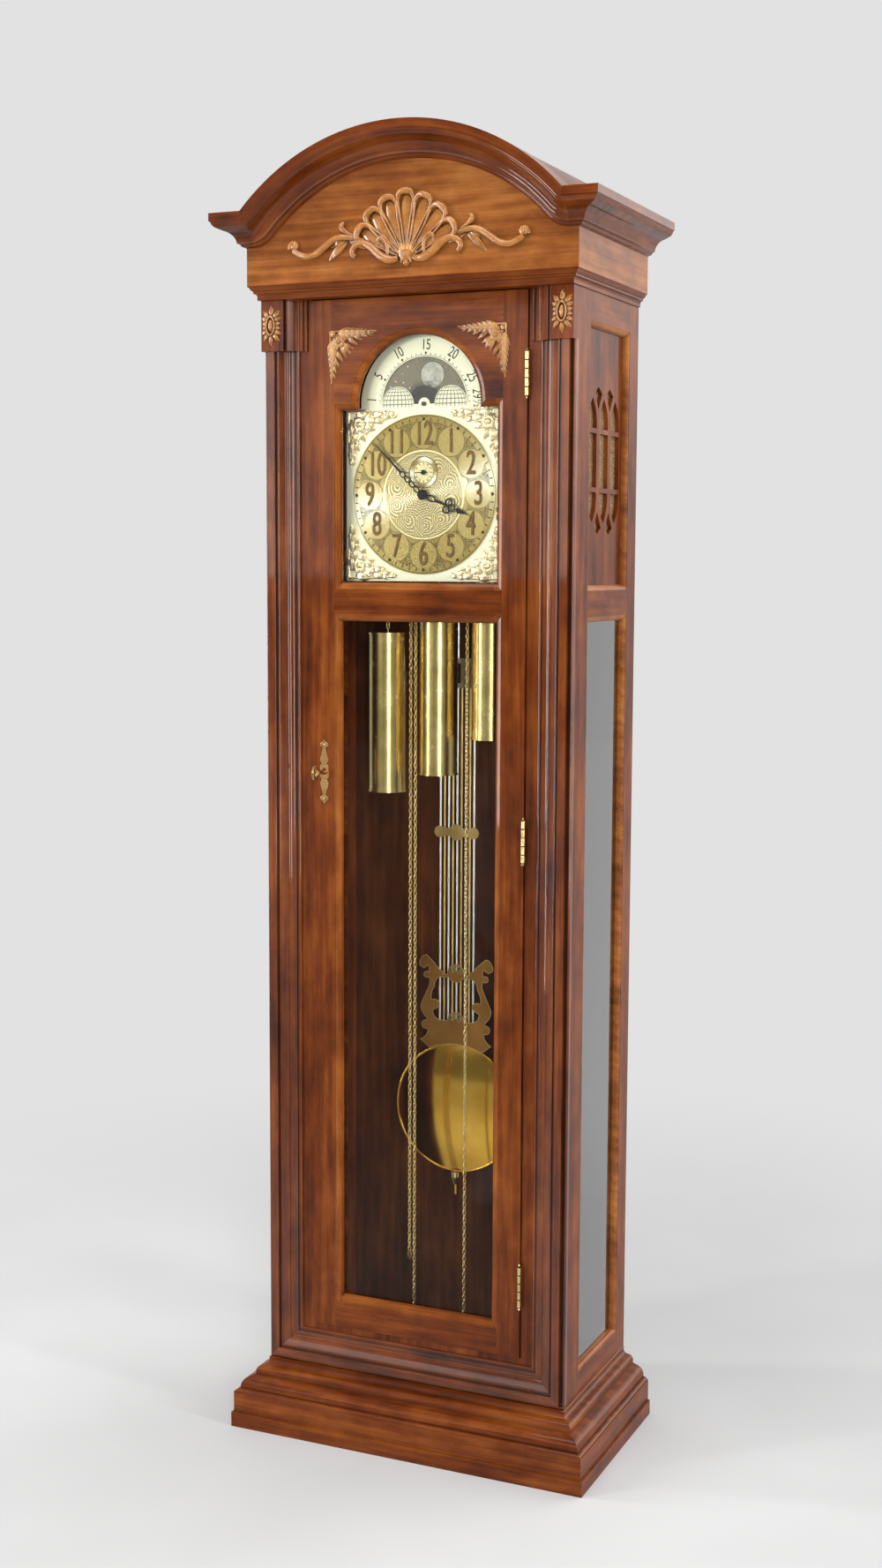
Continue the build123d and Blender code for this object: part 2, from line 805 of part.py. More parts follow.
def door_carvings():
    """Leafy corner brackets: a square corner, two pointed arms and a round flower."""
    x, z, reach = -door_light_half - carving_out, door_high - carving_drop, carving_reach
    leaf = outline((x, z), (x, z - reach), (x + reach * 0.3, z - reach * 0.3, -reach * 0.06),
                   (x + reach, z, -reach * 0.06))
    flower = Pos(x + reach * 0.2, z - reach * 0.2) * Circle(reach * 0.13)
    bracket = plate(leaf, door_front - carving_rise / 2, carving_rise / 2)
    bracket += plate(flower, door_front - carving_rise, carving_rise)
    return both_sides(bracket)


def finial():
    """Small turned knob at each end of a hinge pin."""
    shape = outline((0, 0), (finial_radius / 2, 0), (finial_radius, finial_height / 2), (0, finial_height))
    return revolve(Plane.XZ * shape, axis=Axis.Z)


def hinge_parts():
    """Leaves with alternate knuckles: the case leaf holds the pin with its two ball tips."""
    case_leaves, door_leaves = [], []
    pitch = hinge_height / knuckle_count
    for middle in hinge_heights:
        low = middle - hinge_height / 2
        leaves = {
            "case": board(frame_edge - leaf_thick, frame_edge, case_front, case_front + leaf_depth,
                          low, low + hinge_height),
            "door": board(door_half, door_half + leaf_thick, door_front, door_front + leaf_depth,
                          low, low + hinge_height)}
        for knuckle in range(knuckle_count):
            owner = "door" if knuckle % 2 else "case"
            bottom = low + knuckle * pitch + run_gap / 2
            barrel = rod(hinge_x, hinge_y, bottom, bottom + pitch - run_gap, knuckle_radius)
            edge = frame_edge - leaf_thick if owner == "case" else door_half
            foot = case_front if owner == "case" else door_front
            tab = board(edge, edge + leaf_thick, hinge_y, foot, bottom, bottom + pitch - run_gap)
            leaves[owner] += barrel + tab
        pin = rod(hinge_x, hinge_y, low, low + hinge_height, hinge_pin)
        tip = Pos(hinge_x, hinge_y, low + hinge_height) * finial()
        foot_tip = Pos(hinge_x, hinge_y, low) * Rot(180, 0, 0) * finial()
        bore = rod(hinge_x, hinge_y, low, low + hinge_height, hinge_pin + shaft_play)
        door_leaves.append(leaves["door"] - bore)
        case_leaves.append(leaves["case"] + pin + tip + foot_tip)
    return case_leaves, door_leaves


def escutcheon():
    """Slender brass plate with pointed ends, a waist on each side of the keyhole and a bored centre."""
    half, wide = escutcheon_height / 2, escutcheon_width / 2
    bow = wide / 6
    shape = outline((0, -half), (wide * 0.7, -half * 0.82), (wide * 0.25, -half * 0.66),
                    (wide, -half * 0.42, bow), (wide * 0.4, -half * 0.2), (wide, 0, -1.5 * bow),
                    (wide * 0.4, half * 0.2, -1.5 * bow), (wide, half * 0.42),
                    (wide * 0.25, half * 0.66, bow), (wide * 0.7, half * 0.82), (0, half))
    shape += mirror(shape, about=Plane.YZ)
    front = door_front - escutcheon_thick
    flat = plate(Pos(lock_x, lock_height) * shape, front, escutcheon_thick)
    return flat - spindle(lock_x, lock_height, front, door_front, key_shaft + shaft_play)


def lock_case():
    """Plate on the back of the door stile, bored for the key."""
    shape = RectangleRounded(lock_width, lock_length, lock_width / 8)
    flat = plate(Pos(lock_x, lock_height) * shape, door_back, lock_plate)
    return flat - spindle(lock_x, lock_height, door_back, door_back + lock_plate, key_shaft + shaft_play)


def door_key():
    """Round shaft through stile and lock, with a flat oval bow standing upright."""
    bow_y = door_front - escutcheon_thick - key_reach
    shaft = spindle(lock_x, lock_height, bow_y + key_bow_hole, door_back + lock_plate + run_gap, key_shaft)
    eye = Ellipse(key_bow_hole * 0.7, key_bow_hole)
    bow = Ellipse(key_bow * 0.8, key_bow) - eye
    ring = extrude(sideways(lock_x - key_thick / 2) * (Pos(bow_y, lock_height) * bow), amount=key_thick)
    hole = extrude(sideways(lock_x - key_shaft) * (Pos(bow_y, lock_height) * eye), amount=2 * key_shaft)
    return ring + (shaft - hole)


def lock_cam():
    """Flat arm on the key's end that swings behind the face frame."""
    arm = Pos(0, -cam_length / 2 + cam_width / 2) * SlotOverall(cam_length, cam_width, rotation=90)
    return plate(Pos(lock_x, lock_height) * arm, door_back + lock_plate + run_gap, cam_thick)


# Dial and hands


def dial_plate():
    """Square plate with a round arch, cut for the moon, and the posts that fix it to the movement."""
    shape = Pos(0, (dial_low + dial_high) / 2) * Rectangle(2 * dial_half, dial_high - dial_low)
    shape += Pos(0, (dial_high + arch_spring) / 2) * Rectangle(2 * dial_arch, arch_spring - dial_high)
    arch = Circle(dial_arch) - Pos(0, -dial_arch) * Rectangle(3 * dial_arch, 2 * dial_arch)
    shape += Pos(0, arch_spring) * arch
    window = Circle(moon_window) - Pos(0, -moon_window) * Rectangle(3 * moon_window, 2 * moon_window)
    window -= Circle(moon_boss)
    for side in (-1, 1):
        window -= Pos(side * (moon_window - hump_radius), 0) * Circle(hump_radius)
    sheet = plate(shape - Pos(0, arch_spring) * window, dial_y, dial_thick)
    for z, radius in ((hands_z, hour_pipe), (seconds_z, seconds_arbor), (arch_spring, moon_pin)):
        sheet -= spindle(0, z, dial_y, dial_back, radius + shaft_play)
    posts = [spindle(x, z, dial_back, plate_front, post_radius) for x in (-post_x, post_x)
             for z in (seat_top + 2 * pillar_inset, seconds_z)]
    slot_half = lever_arm * sin(radians(lever_travel)) + lever_width / 2
    slot = board(lever_x - 2 * lever_thick, lever_x + 2 * lever_thick, dial_y, dial_back,
                 lever_z - slot_half, lever_z + slot_half)
    return [sheet - slot, *posts]


def chapter_disc():
    """Round brass disc with a raised inner ring and a raised seconds ring."""
    front = dial_y - disc_thick
    disc = plate(Pos(0, hands_z) * Circle(disc_radius), front, disc_thick)
    ring = Circle(ring_radius + ring_width) - Circle(ring_radius)
    disc += plate(Pos(0, hands_z) * ring, front - ring_rise, ring_rise)
    seconds = Circle(seconds_radius) - Circle(seconds_radius - 2 * ring_width)
    disc += plate(Pos(0, seconds_z) * seconds, front - ring_rise, ring_rise)
    for z, radius in ((hands_z, hour_pipe), (seconds_z, seconds_arbor)):
        disc -= spindle(0, z, front, dial_y, radius + shaft_play)
    return disc


def dial_spandrels():
    """Cast corner ornaments: pierced, with a long arm each way and a hollow edge that follows the disc."""
    x, z = -dial_half + spandrel_inset, dial_high - spandrel_inset
    reach, tip = spandrel_reach, spandrel_reach / 16
    leaf = outline((x, z), (x, z - reach), (x + tip, z - reach), (x + 3 * tip, z - 0.7 * reach),
                   (x + 0.7 * reach, z - 3 * tip), (x + reach, z - tip), (x + reach, z))
    leaf += outline((x, z), (x, z - 0.7 * reach), (x + 0.7 * reach, z - 0.7 * reach), (x + 0.7 * reach, z))
    leaf -= Pos(0, hands_z) * Circle(disc_radius + spandrel_gap)
    for across, down in ((0.08, 0.36), (0.36, 0.08), (0.12, 0.12), (0.3, 0.22), (0.22, 0.3)):
        leaf -= Pos(x + reach * across, z - reach * down) * Circle(spandrel_hole)
    upper = plate(leaf, dial_y - spandrel_rise, spandrel_rise)
    middle = Plane.XY.offset((dial_high + dial_low) / 2)
    return both_sides(upper, mirror(upper, about=middle))


def hand_at(shape, angle, z, y):
    """A hand drawn pointing up, turned clockwise about its arbor."""
    return plate(Pos(0, z) * Rot(0, 0, -angle) * shape, y, hand_thick)


def braid(start, end, loops, width, line):
    """Two mirrored waves that cross: a chain of loops along a hand."""
    step = (end - start) / loops
    shape = None
    for loop in range(loops):
        low, high = start + loop * step, start + (loop + 1) * step
        for side in (-1, 1):
            bow = trace([SagittaArc((0, low), (0, high), side * width)], line)
            shape = bow if shape is None else shape + bow
    return shape


def minute_hand():
    """Serpentine hand: a braid near the hub, then a long tapering point with small swellings."""
    line, root, swell = minute_line, minute_length * 0.42, minute_swell
    shape = Circle(2.6 * minute_arbor) + braid(2.3 * minute_arbor, root, minute_loops, minute_loop, line)
    shape += outline((-line, root - line), (line, root - line), (hand_point, minute_length),
                     (-hand_point, minute_length))
    for share in (0.5, 0.66):
        z = minute_length * share
        shape += outline((-swell, z), (0, z - 2 * swell), (swell, z), (0, z + 2 * swell))
    arbor = spindle(0, hands_z, minute_y - 2 * hand_thick, plate_front + 2 * plate_thick, minute_arbor)
    return hand_at(shape, minute_angle, hands_z, minute_y) + arbor


def hour_hand():
    """Serpentine hand: one loop, a neck, three rings and a spear point, on a pipe round the minute arbor."""
    line, root, ring = hour_line, hour_length * 0.46, hour_ring
    shape = Circle(1.7 * hour_pipe) + braid(1.5 * hour_pipe, root * 0.6, 1, hour_loop, line)
    shape += outline((-line, root * 0.55), (line, root * 0.55), (line * 0.6, root * 1.05),
                     (-line * 0.6, root * 1.05))
    for x, z in ((-ring * 0.9, root * 1.12), (ring * 0.9, root * 1.12), (0, root * 1.3)):
        shape += Pos(x, z) * (Circle(ring) - Circle(ring * 0.62))
    spear, wide, tip = root * 1.42, hour_spear, hand_point
    shape += outline((0, spear), (wide, spear + 1.5 * wide, wide / 5), (tip, hour_length, wide / 3),
                     (-tip, hour_length), (-wide, spear + 1.5 * wide, wide / 3))
    pipe = spindle(0, hands_z, hour_y, plate_front - run_gap, hour_pipe)
    body = hand_at(shape, hour_angle, hands_z, hour_y) + pipe
    return body - spindle(0, hands_z, hour_y - hand_thick, plate_front, minute_arbor + shaft_play)


def seconds_hand():
    """Small hand, its long arbor and the toothed wheel that the pendulum lets go one tooth at a time."""
    line, tail = seconds_line, -seconds_length * 0.4
    shape = Circle(3 * seconds_arbor) + outline((-line, tail), (line, tail), (hand_point, seconds_length),
                                                (-hand_point, seconds_length))
    hand = hand_at(shape, seconds_angle, seconds_z, seconds_y)
    arbor = spindle(0, seconds_z, seconds_y, rear_of_plates, seconds_arbor)
    wheel = Circle(escape_radius * 0.84) - Circle(escape_radius * 0.68)
    tooth = outline((-escape_tooth, escape_radius * 0.8), (escape_tooth, escape_radius * 0.8),
                    (-escape_tooth * 0.8, escape_radius))
    for turn in range(escape_teeth):
        wheel += Rot(0, 0, turn * 360 / escape_teeth) * tooth
    wheel += Circle(4 * seconds_arbor)
    for turn in range(4):
        wheel += Rot(0, 0, turn * 90) * Rectangle(2 * seconds_arbor, escape_radius * 1.5)
    return hand + arbor + plate(Pos(0, seconds_z) * wheel, escape_y, wheel_thick)


def moon_disc():
    """Painted disc behind the arch, on a pin that shows at the front."""
    disc = plate(Pos(0, arch_spring) * Circle(moon_radius), dial_back + run_gap, moon_thick)
    pin = spindle(0, arch_spring, dial_y - 1.5 * moon_pin, dial_back + run_gap + moon_thick, moon_pin)
    cap = spindle(0, arch_spring, dial_y - 1.5 * moon_pin, dial_y - run_gap, 1.6 * moon_pin)
    return disc + pin + cap


def chime_lever():
    """Bent selector lever behind the dial, its tip standing through a slot."""
    y = plate_front - run_gap - lever_thick
    pivot_x = lever_x - lever_arm
    arm = Pos(lever_x - lever_arm / 2, lever_z) * SlotOverall(lever_arm + lever_width, lever_width)
    flat = plate(arm - Pos(pivot_x, lever_z) * Circle(post_radius / 2 + shaft_play), y, lever_thick)
    tip = board(lever_x - lever_thick, lever_x + lever_thick, dial_y - disc_thick - lever_reach, y,
                lever_z - lever_width / 3, lever_z + lever_width / 3)
    return flat + tip


# Movement


def seat_board():
    """Shelf for the movement, slotted for the chains, on two cleats."""
    shelf = board(-side_inner, side_inner, seat_front, seat_back, seat_low, seat_top)
    for train in TRAINS.values():
        reach = wheel_pitch + chain_radius + slot_play
        shelf -= board(train["wheel"] - reach, train["wheel"] + reach, chain_y - 2 * slot_play,
                       chain_y + 2 * slot_play, seat_low, seat_top)
    cleat = board(side_inner - cleat_size, side_inner, seat_front, seat_back,
                  seat_low - cleat_size, seat_low)
    return [shelf, *both_sides(cleat)]


def movement_frame():
    """Two brass plates on four pillars, bored for every arbor, with the lever's post."""
    bores = [(0, hands_z, minute_arbor), (0, seconds_z, seconds_arbor), (0, pendulum_pivot, crutch_radius)]
    bores += [(train["wheel"], wheel_height, wheel_arbor) for train in TRAINS.values()]
    plates = []
    for y in (plate_front, plate_back):
        flat = board(-plate_half, plate_half, y, y + plate_thick, seat_top, plate_top)
        for x, z, radius in bores:
            flat -= spindle(x, z, y, y + plate_thick, radius + shaft_play)
        plates.append(flat)
    low, high = seat_top + pillar_inset, plate_top - pillar_inset
    upper_x, lower_x = plate_half - pillar_inset, outer_wheel
    pillars = [spindle(x, z, plate_front + plate_thick, plate_back, pillar_radius)
               for x, z in ((-upper_x, high), (upper_x, high), (-lower_x, low), (lower_x, low))]
    ear = board(plate_half, lever_x - lever_arm + 2 * post_radius, plate_front, plate_front + plate_thick,
                lever_z - 2 * post_radius, lever_z + 2 * post_radius)
    post = spindle(lever_x - lever_arm, lever_z, plate_front - 3 * lever_thick, plate_front, post_radius / 2)
    return [plates[0] + ear + post, plates[1], *pillars]


def suspension_cock():
    """Bracket behind the rear plate, slit for the suspension spring."""
    low = pendulum_pivot + spring_up / 2
    arm = board(-cock_width / 2, cock_width / 2, rear_of_plates, pendulum_y + cock_thick / 2,
                low, low + cock_thick)
    slit_half, slit_depth = spring_width / 2 + 3 * run_gap, spring_thick / 2 + run_gap
    slit = board(-slit_half, slit_half, pendulum_y - slit_depth, pendulum_y + slit_depth,
                 low, low + cock_thick)
    return arm - slit


def chime_rods():
    """Iron block on the back panel with a row of tuned rods, each shorter than the last."""
    left = -(chime_block + chime_long) / 2
    tall = chime_count * chime_pitch
    block = board(left, left + chime_block, back_inner - chime_block, back_inner,
                  chime_height, chime_height + tall)
    pieces = [block]
    for row in range(chime_count):
        z = chime_height + (row + 0.5) * chime_pitch
        length = chime_long - row * chime_step
        bar = Pos(left + chime_block + length / 2, back_inner - chime_block / 2, z) * Rot(0, 90, 0)
        pieces.append(bar * Cylinder(chime_radius, length))
    return pieces


# Chain train


def strand_x(train, free):
    """Where a train's chain hangs: the weight's side or the free side of its wheel."""
    side = -train["load"] if free else train["load"]
    return train["wheel"] + side * wheel_pitch


def chain_wheel(train):
    """Grooved wheel with flanges on its arbor between the plates."""
    front, back = chain_y - wheel_width / 2, chain_y + wheel_width / 2
    lip_front, lip_back = chain_y - chain_radius - run_gap, chain_y + chain_radius + run_gap
    shape = outline((0, plate_front), (wheel_arbor, plate_front), (wheel_arbor, front),
                    (wheel_flange, front), (wheel_flange, lip_front), (chain_groove, lip_front),
                    (chain_groove, lip_back), (wheel_flange, lip_back), (wheel_flange, back),
                    (wheel_arbor, back), (wheel_arbor, rear_of_plates), (0, rear_of_plates))
    return Pos(train["wheel"], 0, wheel_height) * revolve(shape, axis=Axis.Y)


def weight_low(train):
    """Underside of a train's weight, which hangs below the seat board."""
    return seat_low - train["hang"] - hook_height - weight_length


def weight(train):
    """Polished cylinder with a lipped cap at each end and an eye in its top."""
    low, high = weight_low(train), weight_low(train) + weight_length
    radius, lip, inner = weight_radius, weight_lip_width, weight_radius - weight_lip
    shape = outline((0, low), (radius, low), (radius, low + lip), (inner, low + lip), (inner, high - lip),
                    (radius, high - lip), (radius, high), (0, high))
    body = revolve(Plane.XZ * shape, axis=Axis.Z)
    neck = rod(0, 0, high, high + hook_height - 2 * hook_radius + hook_wire, hook_wire)
    ring = Pos(0, high + hook_height - hook_radius) * (Circle(hook_radius) - Circle(hook_radius - hook_wire))
    eye = neck + plate(ring, -hook_wire / 2, hook_wire)
    return Pos(strand_x(train, free=False), chain_y, 0) * (body + eye)


def load_chain(train):
    top = weight_low(train) + weight_length + hook_height + run_gap
    return rod(strand_x(train, free=False), chain_y, top, wheel_height, chain_radius)


def free_chain(train):
    """Free strand with a small oval tag at its lower end."""
    x, low = strand_x(train, free=True), floor_top + train["free_up"]
    oval = Pos(x, low - tag_length / 2) * Ellipse(tag_width / 2, tag_length / 2)
    tag = plate(oval, chain_y - tag_thick / 2, tag_thick)
    return [rod(x, chain_y, low, wheel_height, chain_radius), tag]


# Pendulum


def anchor():
    """Pallet band round the escape wheel and the crutch arbor that carries it to the pendulum."""
    inner = escape_radius + anchor_clear
    band = Circle(inner + anchor_band) - Circle(inner)
    across, up = beyond * sin(radians(anchor_half_angle)), beyond * cos(radians(anchor_half_angle))
    wedge = outline((0, 0), (-across, up), (across, up))
    shape = Pos(0, seconds_z) * (band & wedge) + Pos(0, pendulum_pivot) * Circle(2 * crutch_radius)
    reach = pendulum_pivot - seconds_z - inner
    shape += Pos(0, pendulum_pivot - reach / 2) * Rectangle(2 * crutch_radius, reach)
    arbor = spindle(0, pendulum_pivot, plate_front, pendulum_y - 2 * leader_radius, crutch_radius)
    fork_y = pendulum_y - 2 * leader_radius
    fork = board(-crutch_radius, crutch_radius, fork_y - crutch_radius, fork_y,
                 pendulum_pivot - 3 * spring_down, pendulum_pivot)
    return plate(shape, escape_y, wheel_thick) + arbor + fork


def pendulum_leader():
    """Suspension spring, its end block, the long hook rod and the slotted top bar of the rods."""
    block_top = pendulum_pivot - spring_down
    spring = Pos(0, pendulum_y, (block_top + pendulum_pivot + spring_up) / 2) * Box(
        spring_width, spring_thick, pendulum_pivot + spring_up - block_top)
    block = Pos(0, pendulum_y, block_top - spring_down / 2) * Box(
        spring_width, 4 * leader_radius, spring_down)
    bar_top = crossbar_low + crossbar_height
    hook = rod(0, pendulum_y, bar_top, block_top - spring_down, leader_radius)
    shape = Pos(0, crossbar_low + crossbar_height / 2) * (
        RectangleRounded(2 * crossbar_half, crossbar_height, crossbar_frame / 2)
        - Rectangle(crossbar_slot, crossbar_height - 2 * crossbar_frame))
    bar = plate(shape, pendulum_y - crossbar_thick / 2, crossbar_thick)
    return [spring, block, hook, bar]


def pendulum_rods():
    """Row of alternating rods and the scalloped brace across their front."""
    rods = [rod((number - (rod_count - 1) / 2) * rod_pitch, pendulum_y, rod_low, crossbar_low, rod_radius)
            for number in range(rod_count)]
    half = rod_pitch * (rod_count - 1) / 2
    middle = brace_low + brace_height / 2
    bar = RectangleRounded(2 * half + brace_height / 2, brace_height / 2, brace_height / 5)
    shape = Pos(0, middle) * bar
    for x in (-half, 0, half):
        shape += Pos(x, middle) * Circle(brace_height * (0.5 if x == 0 else 0.36))
    front = pendulum_y - rod_radius - run_gap - lyre_thick
    return rods + [plate(shape, front, lyre_thick)]


def lyre_shell(z):
    """Small fan with five slots."""
    radius = lyre_half / 4.6
    fan = Circle(radius)
    slot = Pos(0, radius * 0.6) * SlotOverall(radius * 0.58, radius * 0.2, rotation=90)
    for turn in range(-2, 3):
        fan -= Rot(0, 0, turn * 32) * slot
    return Pos(0, z) * fan


def pendulum_lyre():
    """Pierced brass lyre: a flared base over the bob, two S-shaped arms, a garland and two small shells."""
    foot, tall, half = lyre_low, lyre_height, lyre_half
    def spot(across, up):
        return (-half * across, foot + tall * up)
    bow = half / 30
    side = outline(
        spot(0, -0.1), spot(0.6, -0.1), spot(0.93, 0.02), (*spot(0.73, 0.12), -bow), spot(0.76, 0.28),
        (*spot(0.9, 0.37), bow / 2), (*spot(0.9, 0.45), bow / 2), spot(0.7, 0.66),
        (*spot(0.7, 0.76), -bow / 2), spot(0.7, 0.9), spot(0.84, 0.86), (*spot(0.92, 0.97), bow),
        (*spot(0.76, 1.02), bow), spot(0.55, 0.93), (*spot(0.34, 0.84), -bow / 2), spot(0.36, 0.78),
        (*spot(0.55, 0.66), -2 * bow), (*spot(0.64, 0.5), -bow), spot(0.56, 0.51),
        (*spot(0.42, 0.44), bow), (*spot(0.6, 0.38), bow / 2), (*spot(0.4, 0.27), -2 * bow), spot(0, 0.26))
    studs = ((0.78, 0.2, 0.11), (0.76, 0.79, 0.08), (0.86, 0.92, 0.1), (0.5, 0.46, 0.08))
    for across, up, share in studs:
        side += Pos(*spot(across, up)) * Circle(half * share)
    for drop in (-0.02, 0.05):
        side += trace([SagittaArc(spot(0.44, 0.79), spot(0, 0.8 - drop), half * drop)], lyre_band)
    shape = side + mirror(side, about=Plane.YZ)
    shape = shape + lyre_shell(foot + tall * 0.27) + lyre_shell(foot + tall * 0.83)
    shape -= Pos(0, bob_height) * Circle(bob_radius + run_gap)
    return plate(shape, pendulum_y - rod_radius - run_gap - lyre_thick, lyre_thick)


def dome_radius(rise):
    """Radius of the ball that stands so far out over the middle of the bob's rim."""
    return ((bob_radius - bob_rim)**2 + rise**2) / (2 * rise)


def pendulum_bob():
    """Polished lens with a rolled rim, the strap it hangs by and the threaded stud below."""
    front, back = pendulum_y - bob_dome, pendulum_y + bob_back
    front_ball, back_ball = dome_radius(bob_dome), dome_radius(bob_back)
    disc = spindle(0, bob_height, front, back, bob_radius - bob_rim)
    disc &= Pos(0, front + front_ball, bob_height) * Sphere(front_ball)
    disc &= Pos(0, back - back_ball, bob_height) * Sphere(back_ball)
    disc += Pos(0, pendulum_y, bob_height) * Rot(90, 0, 0) * Torus(bob_radius - bob_rim, bob_rim)
    disc &= board(-bob_radius, bob_radius, front, back, bob_height - bob_half, bob_height + bob_half)
    strap = rod(0, pendulum_y, bob_height + bob_half, rod_low, rod_radius)
    stud = rod(0, pendulum_y, bob_height - bob_half - stud_length, bob_height - bob_half, stud_radius)
    return [disc, strap, stud]


def rating_nut():
    """Tapered nut on the stud, bearing up under the bob."""
    top = bob_height - bob_half - run_gap
    bore = stud_radius + shaft_play
    shape = outline((bore, top - nut_height), (nut_radius * 0.5, top - nut_height),
                    (nut_radius, top - nut_height * 0.4), (nut_radius, top), (bore, top))
    return Pos(0, pendulum_y, 0) * revolve(Plane.XZ * shape, axis=Axis.Z)


os.makedirs("parts", exist_ok=True)

save("plinth_strip", *plinth_strip())
save("base_moulding", *base_moulding())
save("floor_board", floor_board())
save("side_frames", *side_frames())
save("side_beads", *side_beads())
save("fret_panels", *fret_panel())
save("grille_cloths", *grille_cloth())
save("side_glasses", *side_glass())
save("back_panel", *back_panel())
save("face_frame", *face_frame())
save("front_moulding", *front_moulding())
save("capital_blocks", *capital_blocks())
save("capital_rosettes", *capital_rosettes())
save("neck_moulding", *neck_moulding())
save("top_board", top_board())
save("frieze_boards", *frieze_boards())
save("crown_moulding", *crown_moulding())
save("bonnet_roof", bonnet_roof())
save("shell_carving", shell_carving())

save("door_stiles", *door_stiles())
save("door_rails", *door_rails())
save("door_beads", *door_beads())
save("door_glass", *door_glass())
save("door_carvings", *door_carvings())
case_hinge_leaves, door_hinge_leaves = hinge_parts()
save("hinge_case_leaves", *case_hinge_leaves)
save("hinge_door_leaves", *door_hinge_leaves)
save("escutcheon", escutcheon())
save("lock_case", lock_case())
save("door_key", door_key())
save("lock_cam", lock_cam())

save("dial_plate", *dial_plate())
save("chapter_disc", chapter_disc())
save("dial_spandrels", *dial_spandrels())
save("minute_hand", minute_hand())
save("hour_hand", hour_hand())
save("seconds_hand", seconds_hand())
save("moon_disc", moon_disc())
save("chime_lever", chime_lever())

save("seat_board", *seat_board())
save("movement_frame", *movement_frame())
save("suspension_cock", suspension_cock())
save("chime_rods", *chime_rods())

for side, train in TRAINS.items():
    save(f"{side}_chain_wheel", chain_wheel(train))
    save(f"{side}_weight", weight(train))
    save(f"{side}_load_chain", load_chain(train))
    save(f"{side}_free_chain", *free_chain(train))

save("anchor", anchor())
save("pendulum_leader", *pendulum_leader())
save("pendulum_rods", *pendulum_rods())
save("pendulum_lyre", pendulum_lyre())
save("pendulum_bob", *pendulum_bob())
save("rating_nut", rating_nut())
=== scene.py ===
"""Dresses a longcase clock: lacquered cherry case, carvings, moon dial, chains, weights and lyre pendulum."""

import math

import bmesh
import bpy
from mathutils import Matrix, Vector


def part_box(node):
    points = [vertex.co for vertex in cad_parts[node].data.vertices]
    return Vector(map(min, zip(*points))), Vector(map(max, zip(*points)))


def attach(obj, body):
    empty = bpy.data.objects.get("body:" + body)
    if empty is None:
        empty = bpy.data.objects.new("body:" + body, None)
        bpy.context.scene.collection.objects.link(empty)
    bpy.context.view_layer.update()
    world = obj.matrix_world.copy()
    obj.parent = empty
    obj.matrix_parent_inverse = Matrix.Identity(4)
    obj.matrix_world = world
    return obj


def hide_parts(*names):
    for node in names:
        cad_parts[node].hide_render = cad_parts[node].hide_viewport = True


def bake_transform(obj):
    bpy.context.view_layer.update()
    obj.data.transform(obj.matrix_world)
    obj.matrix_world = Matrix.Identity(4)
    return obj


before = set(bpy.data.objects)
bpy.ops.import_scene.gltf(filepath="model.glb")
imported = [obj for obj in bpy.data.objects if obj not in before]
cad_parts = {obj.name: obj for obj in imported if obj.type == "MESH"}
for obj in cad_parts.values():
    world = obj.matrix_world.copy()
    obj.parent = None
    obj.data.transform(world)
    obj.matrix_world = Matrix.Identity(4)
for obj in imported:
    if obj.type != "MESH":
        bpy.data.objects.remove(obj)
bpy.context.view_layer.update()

bpy.ops.object.select_all(action="DESELECT")
